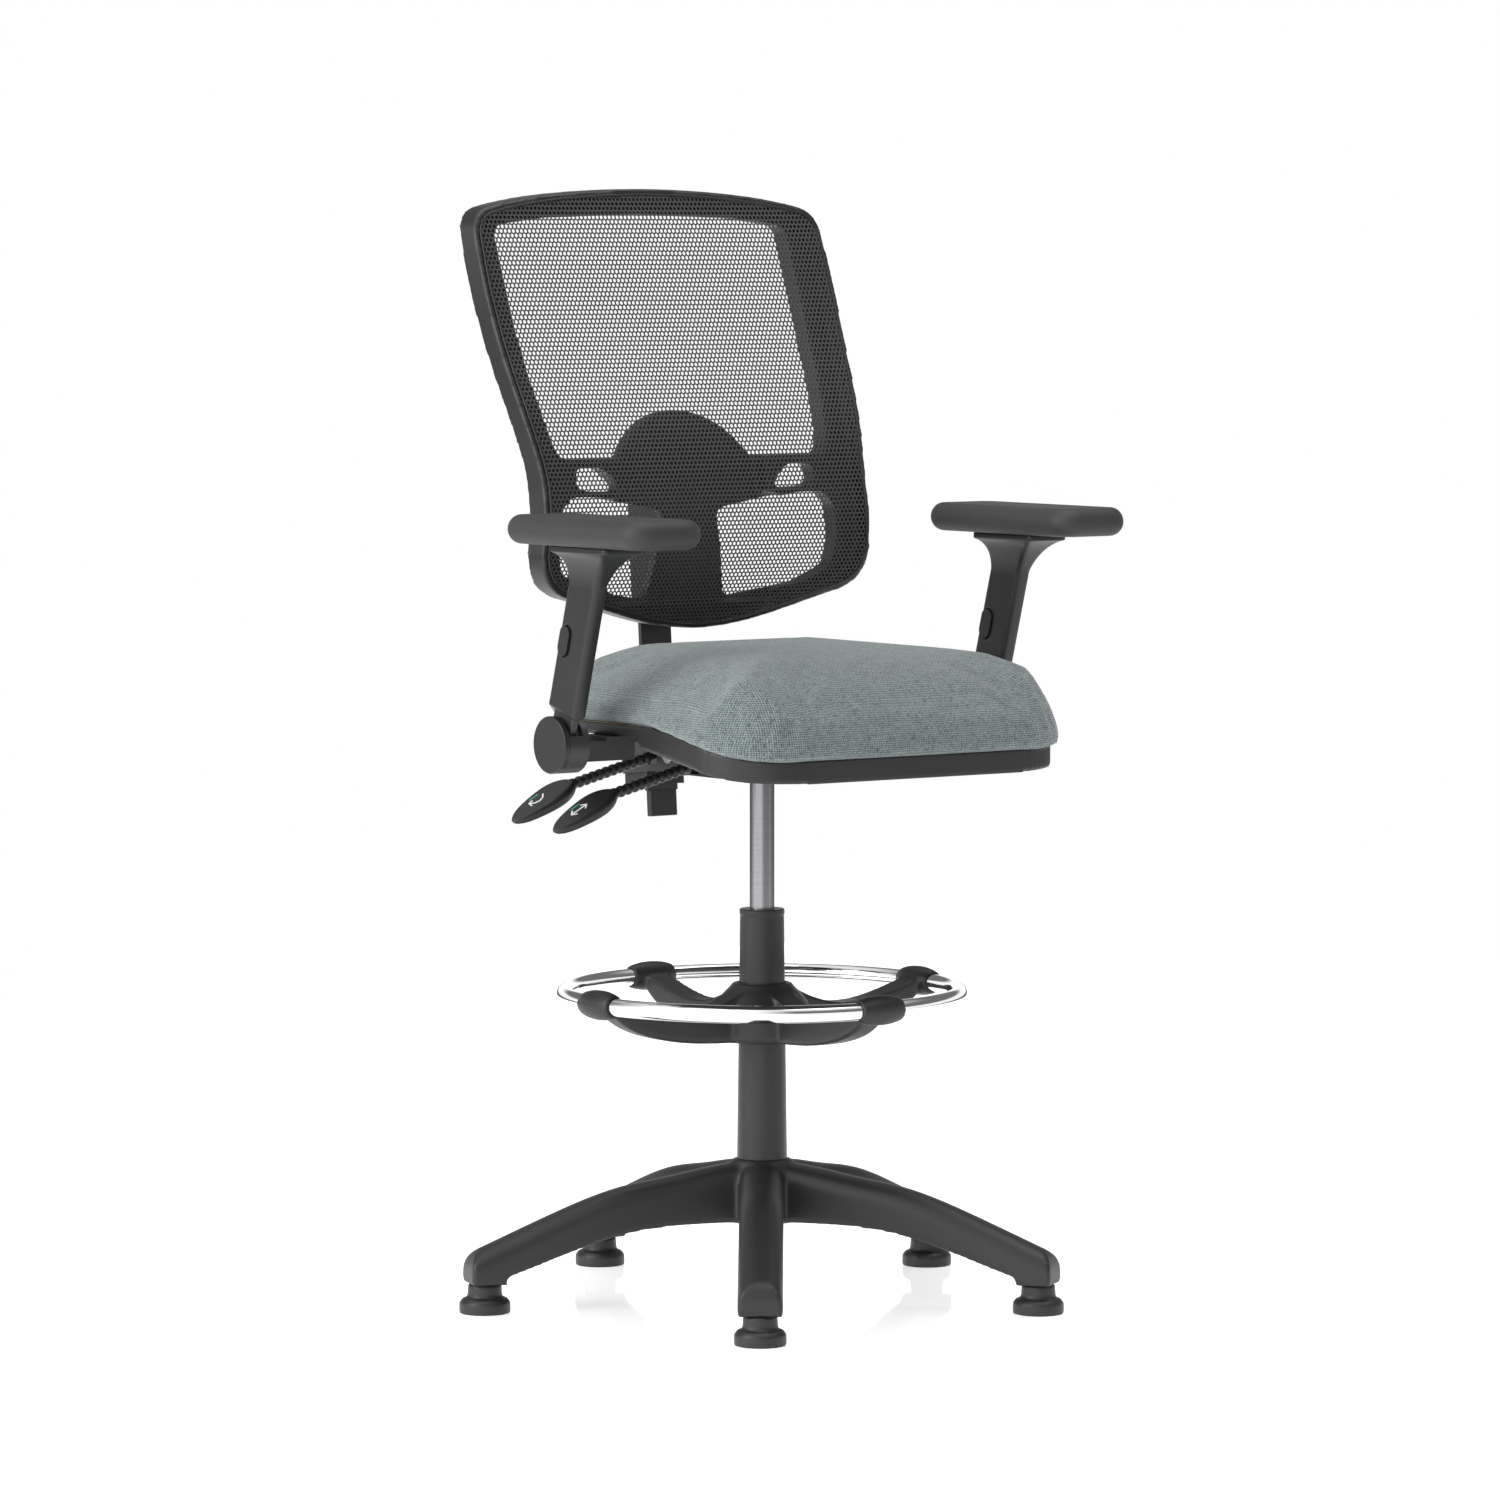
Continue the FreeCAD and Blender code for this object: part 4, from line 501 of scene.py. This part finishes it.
# ---------------------------------------------------------------- moulded pieces
def moulded_pieces():
    softened("back_frame", "back_frame_moulding", 2.6 * MM, 6)
    softened("base_star", "five_leg_base", 3.0 * MM, 10)
    softened("glide_feet", "turned_glides", 1.5 * MM, 9)
    softened("ring_spider", "foot_ring_spider", 2.2 * MM, 6)
    softened("seat_pan", "seat_shell", 2.5 * MM, 3)
    for side in ("left", "right"):
        softened(f"arm_sleeve_{side}", f"arm_post_{side}", 1.6 * MM, 6)
    grips = {lever: softened(lever, f"{lever}_grip", 1.1 * MM, 3) for lever in ("height_lever", "tilt_lever")}
    lever_marks(grips)


# ---------------------------------------------------------------- marks on the paddles
def paddle_mark(name, grip, strokes, finish):
    """Printed strokes laid on a paddle's broad face; along is the paddle's length, across its width."""
    tree = surface_tree(grip)
    along = Vector((-math.cos(PADDLE_SLOPE), 0, -math.sin(PADDLE_SLOPE)))
    across = Vector((0, math.cos(PADDLE_TWIST), math.sin(PADDLE_TWIST)))
    across.rotate(Matrix.Rotation(-PADDLE_SLOPE, 3, "Y"))
    out = across.cross(along).normalized()
    if out.z < 0:
        out = -out
    tip = min((v.co for v in grip.data.vertices), key=lambda co: co.x)
    middle = tip - along * PADDLE_MIDDLE
    vertices = []
    faces = []

    def laid(u, v):
        start = middle + along * u + across * v + out * MARK_REACH
        place = tree.ray_cast(start, -out)[0]
        return place + out * INK_PROUD

    for points in strokes:
        fine = []
        for (u0, v0), (u1, v1) in zip(points, points[1:]):
            fine += [Vector((u0 + (u1 - u0) * k / STROKE_STEPS, v0 + (v1 - v0) * k / STROKE_STEPS)) * MM
                     for k in range(STROKE_STEPS)]
        fine.append(Vector(points[-1]) * MM)
        for i, point in enumerate(fine):
            run = (fine[min(i + 1, len(fine) - 1)] - fine[max(i - 1, 0)]).normalized()
            side = Vector((-run.y, run.x)) * STROKE / 2
            if i:
                last = len(vertices)
                faces.append((last - 2, last - 1, last + 1, last))
            vertices += [laid(point.x + side.x, point.y + side.y), laid(point.x - side.x, point.y - side.y)]
    piece = add_mesh(name, vertices, faces, finish)
    solid = piece.modifiers.new("ink", "SOLIDIFY")
    solid.thickness = 2 * INK_PROUD
    solid.offset = 0
    bake_modifiers(piece)
    return piece


def lever_marks(grips):
    white = printed_ink("white_ink", (0.8, 0.82, 0.8))
    green = printed_ink("green_ink", (0.05, 0.3, 0.16))
    for lever, strokes in (("height_lever", UP_AND_DOWN), ("tilt_lever", LEAN_BACK)):
        for part, lines, ink in (("sign", strokes, white), ("dash", BASE_LINE, green)):
            piece = paddle_mark(f"{lever}_{part}", grips[lever], lines, ink)
            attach(piece, BODY_OF[lever])


# ---------------------------------------------------------------- seat cushion
def vertex_rows(mesh, what):
    """The places or normals of a mesh's vertices as rows of three numbers."""
    rows = np.empty(len(mesh.vertices) * 3)
    mesh.vertices.foreach_get(what, rows)
    return rows.reshape(-1, 3)


def roll_over(piece):
    """Rolls the cushion's top edge down, swells its sides and draws its lower edge in."""
    low, high = (np.array(v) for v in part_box("seat_cushion"))
    centre = (low + high) / 2
    half = (high - low)[:2] / 2
    places = vertex_rows(piece.data, "co")
    flat = places[:, :2] - centre[:2]
    beyond = np.abs(flat) - (half - CUSHION_CORNER)
    outside = np.linalg.norm(np.maximum(beyond, 0.0), axis=1)
    inner = np.minimum(beyond.max(axis=1), 0.0)
    depth = np.maximum(CUSHION_CORNER - outside - inner, 0.0)
    share = np.clip(1 - depth / CUSHION_ROLL, 0.0, 1.0)
    limit = high[2] - (high[2] - CUSHION_SIDE_Z) * share ** 3
    places[:, 2] = np.minimum(places[:, 2], np.maximum(limit, CUSHION_SIDE_Z))
    foot = np.interp(places[:, 1], [low[1] + CUSHION_FOOT_FRONT, low[1] + CUSHION_FOOT_REAR],
                     [low[2], low[2] + CUSHION_FOOT_RISE])
    waist = np.clip(1 - (places[:, 2] - foot) / CUSHION_WAIST_HEIGHT, 0.0, 1.0) ** 2
    rise = np.clip((places[:, 2] - foot) / CUSHION_BULGE_HEIGHT, 0.0, 1.0)
    push = CUSHION_BULGE * 4 * rise * (1 - rise) - CUSHION_WAIST * waist
    push *= np.clip(1 - depth / CUSHION_SIDE_DEPTH, 0.0, 1.0)
    size = np.maximum(np.linalg.norm(flat, axis=1), 0.001)
    places[:, :2] += flat / size[:, None] * push[:, None]
    piece.data.vertices.foreach_set("co", places.ravel())
    piece.data.update()


def seat_cushion():
    piece = copy_of("seat_cushion", "seat_cushion_cover")
    remesh = piece.modifiers.new("skin", "REMESH")
    remesh.mode = "VOXEL"
    remesh.voxel_size = CUSHION_VOXEL
    bake_modifiers(piece)
    roll_over(piece)
    again = piece.modifiers.new("even skin", "REMESH")
    again.mode = "VOXEL"
    again.voxel_size = CUSHION_VOXEL
    bake_modifiers(piece)
    mesh = piece.data
    count = len(mesh.vertices)
    rest = vertex_rows(mesh, "co")
    normals = vertex_rows(mesh, "normal")
    under = np.clip(-normals[:, 2:3], 0.0, 1.0)
    start = rest - normals * CUSHION_START * (1 - under)
    start[:, 2:3] -= CUSHION_TUCK * under
    mesh.vertices.foreach_set("co", start.ravel())
    mesh.update()
    cloth = piece.modifiers.new("swell", "CLOTH")
    cloth.settings.use_pressure = True
    cloth.settings.uniform_pressure_force = CUSHION_PRESSURE
    cloth.settings.effector_weights.gravity = 0.0
    cloth.settings.quality = 4
    pinned = piece.vertex_groups.new(name="tucked")
    tucked = [i for i in range(count) if normals[i][2] < -0.5]
    pinned.add(tucked, 1.0, "REPLACE")
    cloth.settings.vertex_group_mass = "tucked"
    cloth.point_cache.frame_end = CUSHION_STEPS
    for step in range(1, CUSHION_STEPS + 1):
        bpy.context.scene.frame_set(step)
    bake_modifiers(piece)
    bpy.context.scene.frame_set(1)
    mesh = piece.data
    shift = vertex_rows(mesh, "co") - start
    size = np.linalg.norm(shift, axis=1, keepdims=True)
    shift *= np.minimum(1.0, CUSHION_CAP / np.maximum(size, 1e-9))
    mesh.vertices.foreach_set("co", (start + shift).ravel())
    mesh.update()
    smooth = piece.modifiers.new("settle", "SMOOTH")
    smooth.factor = 0.5
    smooth.iterations = 4
    finer = piece.modifiers.new("finer", "SUBSURF")
    finer.levels = 1
    finer.render_levels = 1
    bake_modifiers(piece)
    piece.data.materials.clear()
    piece.data.materials.append(FINISH["seat_fabric"])
    shade_smooth(piece)
    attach(piece, "seat")
    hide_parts("seat_cushion")


# ---------------------------------------------------------------- arm pads
def rounded_ring(half_x, half_y, corner, steps):
    """Points of a rounded rectangle, counter-clockwise."""
    points = []
    corner = min(corner, half_x, half_y)
    for quadrant, (sx, sy) in enumerate(((1, 1), (-1, 1), (-1, -1), (1, -1))):
        for i in range(steps + 1):
            a = math.radians(90 * quadrant + 90 * i / steps)
            points.append((sx * (half_x - corner) + corner * math.cos(a),
                           sy * (half_y - corner) + corner * math.sin(a)))
    return points


def arm_pad(side):
    node = f"arm_pad_{side}"
    low, high = (Vector(v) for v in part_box(node))
    centre = (low + high) / 2
    half = (high - low) / 2
    profile = []
    for i in range(PAD_EDGE_STEPS + 1):
        a = math.radians(-90 + 180 * i / PAD_EDGE_STEPS)
        profile.append((PAD_EDGE * (1 - math.cos(a)), half.z * math.sin(a)))
    rows = []
    for k in range(PAD_FLAT_RINGS, 0, -1):
        rows.append((PAD_EDGE + (half.x - PAD_EDGE) * k / (PAD_FLAT_RINGS + 1), -half.z))
    rows += profile
    for k in range(1, PAD_FLAT_RINGS + 1):
        share = k / (PAD_FLAT_RINGS + 1)
        rows.append((PAD_EDGE + (half.x - PAD_EDGE) * share, half.z))
    vertices = []
    faces = []
    per_ring = 4 * (PAD_CORNER_STEPS + 1)
    for inset, z in rows:
        corner = max(PAD_CORNER - inset, 1.0 * MM)
        for x, y in rounded_ring(half.x - inset, half.y - inset, corner, PAD_CORNER_STEPS):
            crown = 0.0
            if z >= half.z - 1e-6:
                crown = -PAD_CROWN * ((x / half.x) ** 2 * 0.5 + (y / half.y) ** 4)
            vertices.append((centre.x + x, centre.y + y, centre.z + z + crown))
    for r in range(len(rows) - 1):
        for i in range(per_ring):
            j = (i + 1) % per_ring
            a, b = r * per_ring + i, r * per_ring + j
            faces.append((a, b, b + per_ring, a + per_ring))
    faces.append(tuple(reversed(range(per_ring))))
    last = (len(rows) - 1) * per_ring
    faces.append(tuple(range(last, last + per_ring)))
    piece = add_mesh(f"arm_pad_{side}_skin", vertices, faces, FINISH["pad_foam"])
    shape = bmesh.new()
    shape.from_mesh(piece.data)
    bmesh.ops.remove_doubles(shape, verts=shape.verts, dist=0.00005)
    bmesh.ops.recalc_face_normals(shape, faces=shape.faces)
    shape.to_mesh(piece.data)
    shape.free()
    shade_smooth(piece)
    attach(piece, BODY_OF[node])
    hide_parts(node)


# ---------------------------------------------------------------- back mesh
class BackSurface:
    """Front surface of the back: its depth y at a height z, and its outline in front view."""

    def __init__(self):
        node = NODES["back_mesh"]
        self.tree = surface_tree(node)
        low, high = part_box("back_mesh")
        self.low, self.high = Vector(low), Vector(high)
        self.heights = np.linspace(self.low.z + 0.003, self.high.z - 0.003, SURFACE_SAMPLES)
        self.depths = np.array([self.hit(0.0, z) for z in self.heights])
        run = np.hypot(np.diff(self.heights), np.diff(self.depths))
        self.arc = np.concatenate([[0.0], np.cumsum(run)])

    def hit(self, x, z):
        place = self.tree.ray_cast(Vector((x, -1, z)), Vector((0, 1, 0)))[0]
        return None if place is None else place.y

    def covers(self, x, z):
        return self.hit(x, z) is not None

    def depth(self, z):
        return float(np.interp(z, self.heights, self.depths))

    def height_at(self, arc):
        return float(np.interp(arc, self.arc, self.heights))

    def outline(self, inset, count=OUTLINE_POINTS):
        """Closed ring of points inset from the CAD sheet's edge, found by walking out from the middle."""
        middle = Vector((0.0, (self.low.z + self.high.z) / 2))
        ring = []
        for i in range(count):
            a = 2 * math.pi * i / count
            direction = Vector((math.cos(a), math.sin(a)))
            near, far = 0.05, 0.5
            for _ in range(OUTLINE_HALVINGS):
                half = (near + far) / 2
                point = middle + direction * half
                if self.covers(point.x, point.y):
                    near = half
                else:
                    far = half
            ring.append(middle + direction * near)
        out = []
        for i, point in enumerate(ring):
            tangent = (ring[(i + 1) % count] - ring[i - 1]).normalized()
            inward = Vector((-tangent.y, tangent.x))
            out.append(point + inward * inset)
        return out


def lattice_piece(name, rows, surface, outline, row_places):
    """Perforated sheet: hexagonal cells in staggered rows, laid on the curved back."""
    corners = [(math.sin(math.radians(60 * k)), math.cos(math.radians(60 * k))) for k in range(6)]
    index = {}
    vertices = []
    faces = []

    def vertex(key, x, arc, lift):
        if key not in index:
            index[key] = len(vertices)
            z = surface.height_at(arc)
            vertices.append((x, surface.depth(z) + lift, z))
        return index[key]

    half = HOLE_PITCH / 2
    for row in rows:
        arc = row_places[row]
        up = (row_places[row + 1] - arc) / 1.5
        down = (arc - row_places[row - 1]) / 1.5
        for column in range(-LAST_COLUMN, LAST_COLUMN + 1):
            x = HOLE_PITCH * (column + (0.5 if row % 2 else 0.0))
            if not inside(outline, x, surface.height_at(arc)):
                continue
            wide = []
            tight = []
            for k, (sx, sz) in enumerate(corners):
                cx = x + sx * HOLE_PITCH / math.sqrt(3)
                reach = up if sz > 0 else down
                cz = arc + sz * reach
                wide.append((round(cx / half), round(cz * 1e5), cx, cz))
                tight.append((cx - x, cz - arc))
            for layer, lift in enumerate((0.0, MESH_THICKNESS)):
                outer = [vertex((layer, kx, kz), cx, cz, lift) for kx, kz, cx, cz in wide]
                inner = [vertex((layer, row, column, k), x + dx * HOLE_SHARE, arc + dz * HOLE_SHARE, lift)
                         for k, (dx, dz) in enumerate(tight)]
                for k in range(6):
                    n = (k + 1) % 6
                    quad = (outer[k], outer[n], inner[n], inner[k])
                    faces.append(quad if layer == 0 else tuple(reversed(quad)))
                if layer == 0:
                    front = inner
                else:
                    for k in range(6):
                        n = (k + 1) % 6
                        faces.append((front[k], front[n], inner[n], inner[k]))
    return add_mesh(name, vertices, faces, FINISH["mesh_fabric"])


def inside(outline, x, z):
    """Whether a point is inside a closed front-view outline."""
    odd = False
    count = len(outline)
    for i in range(count):
        a, b = outline[i], outline[i - 1]
        if (a.y > z) != (b.y > z) and x < (b.x - a.x) * (z - a.y) / (b.y - a.y) + a.x:
            odd = not odd
    return odd


def back_mesh():
    surface = BackSurface()
    outline = surface.outline(EDGE_BEAD_INSET)
    places = [surface.arc[0] - 0.02]
    while places[-1] < surface.arc[-1] + 0.02:
        z = surface.height_at(max(places[-1], 0.0))
        share = min(max((z - ROW_LOW_Z) / (ROW_HIGH_Z - ROW_LOW_Z), 0.0), 1.0)
        places.append(places[-1] + ROW_LOW + (ROW_HIGH - ROW_LOW) * share)
    rows = range(1, len(places) - 1)
    middle = len(rows) // 2
    for name, part in (("back_mesh_lower", rows[:middle]), ("back_mesh_upper", rows[middle:])):
        piece = lattice_piece(name, part, surface, outline, places)
        arc_length = places[part[-1]] - places[part[0]]
        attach(piece, "back")
        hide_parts("back_mesh")
    centre_line = [Vector((p.x, surface.depth(p.y) - EDGE_BEAD_PROUD, p.y)) for p in outline]
    bead = tube_ring("mesh_edge_bead", centre_line, EDGE_BEAD_R, FINISH["black_frame"])
    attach(bead, "back")
    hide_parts("mesh_edge_strip")


def tube_ring(name, points, radius, finish, sides=8):
    """Closed round bead along a ring of points."""
    vertices = []
    faces = []
    count = len(points)
    for i, point in enumerate(points):
        along = (points[(i + 1) % count] - points[i - 1]).normalized()
        out = along.cross(Vector((0, 1, 0))).normalized()
        over = along.cross(out)
        for k in range(sides):
            a = 2 * math.pi * k / sides
            vertices.append(point + out * radius * math.cos(a) + over * radius * math.sin(a))
    for i in range(count):
        n = (i + 1) % count
        for k in range(sides):
            m = (k + 1) % sides
            faces.append((i * sides + k, i * sides + m, n * sides + m, n * sides + k))
    piece = add_mesh(name, vertices, faces, finish)
    shape = bmesh.new()
    shape.from_mesh(piece.data)
    bmesh.ops.recalc_face_normals(shape, faces=shape.faces)
    shape.to_mesh(piece.data)
    shape.free()
    shade_smooth(piece)
    return piece


# ---------------------------------------------------------------- stage, light and camera
def studio_world():
    """White backdrop; round it a dim room with a bright wall on the left and a bright ceiling."""
    world = bpy.data.worlds.new("studio_room")
    world.use_nodes = True
    backdrop = world.node_tree.nodes["Background"]
    direction = add_node(world, "ShaderNodeTexCoord", output=0)
    height = split(direction)[2]
    towards = add_node(world, "ShaderNodeVectorMath", [direction, LEFT_WALL], 1, operation="DOT_PRODUCT")
    ceiling = height.smoothstep(0.55, 0.9)
    wall = towards.smoothstep(0.45, 0.85)
    skyline = height.smoothstep(-0.01, 0.02) * (1 - height.smoothstep(0.18, 0.3))
    room = ceiling * 0.75 + wall * 1.05 + skyline * SKYLINE_LEVEL + ROOM_LEVEL
    seen = add_node(world, "ShaderNodeLightPath", output=0)
    level = seen + (1 - seen) * room
    world.node_tree.links.new(level.socket, backdrop.inputs["Strength"])
    backdrop.inputs["Color"].default_value = (1, 1, 1, 1)
    return world


def studio():
    scene = bpy.context.scene
    scene.view_settings.view_transform = "Standard"
    scene.world = studio_world()

    corners = [(x * FLOOR_HALF, y * FLOOR_HALF, 0) for x, y in ((-1, -1), (1, -1), (1, 1), (-1, 1))]
    floor = add_mesh("studio_floor", corners, [(0, 1, 2, 3)])
    material, shader = new_material("studio_floor_white", (0.86, 0.86, 0.86), 0.06, Specular_IOR_Level=0.6)
    shader.inputs["Emission Color"].default_value = (1, 1, 1, 1)
    shader.inputs["Emission Strength"].default_value = FLOOR_GLOW
    floor.data.materials.append(material)

    def softbox(name, place, target, size, power):
        light = bpy.data.lights.new(name, "AREA")
        light.shape = "RECTANGLE"
        light.size, light.size_y = size
        light.energy = power
        lamp = bpy.data.objects.new(name, light)
        lamp.location = place
        lamp.rotation_euler = (Vector(target) - Vector(place)).to_track_quat("-Z", "Y").to_euler()
        scene.collection.objects.link(lamp)

    softbox("left_softbox", (-4.0, 0.5, 2.4), (0, 0, 0.8), (2.0, 3.0), 90)
    softbox("top_softbox", (0.5, -0.5, 4.2), (0, 0, 0.6), (3.0, 3.0), 60)

    camera = bpy.data.cameras.new("camera")
    camera.lens = CAMERA_LENS_MM
    camera.sensor_width = 36
    camera.clip_end = 100
    eye = bpy.data.objects.new("camera", camera)
    eye.location = CAMERA_PLACE
    eye.rotation_euler = CAMERA_TURN
    scene.collection.objects.link(eye)
    scene.camera = eye


studio()
paint_nodes()
moulded_pieces()
seat_cushion()
for arm_side in ("left", "right"):
    arm_pad(arm_side)
back_mesh()
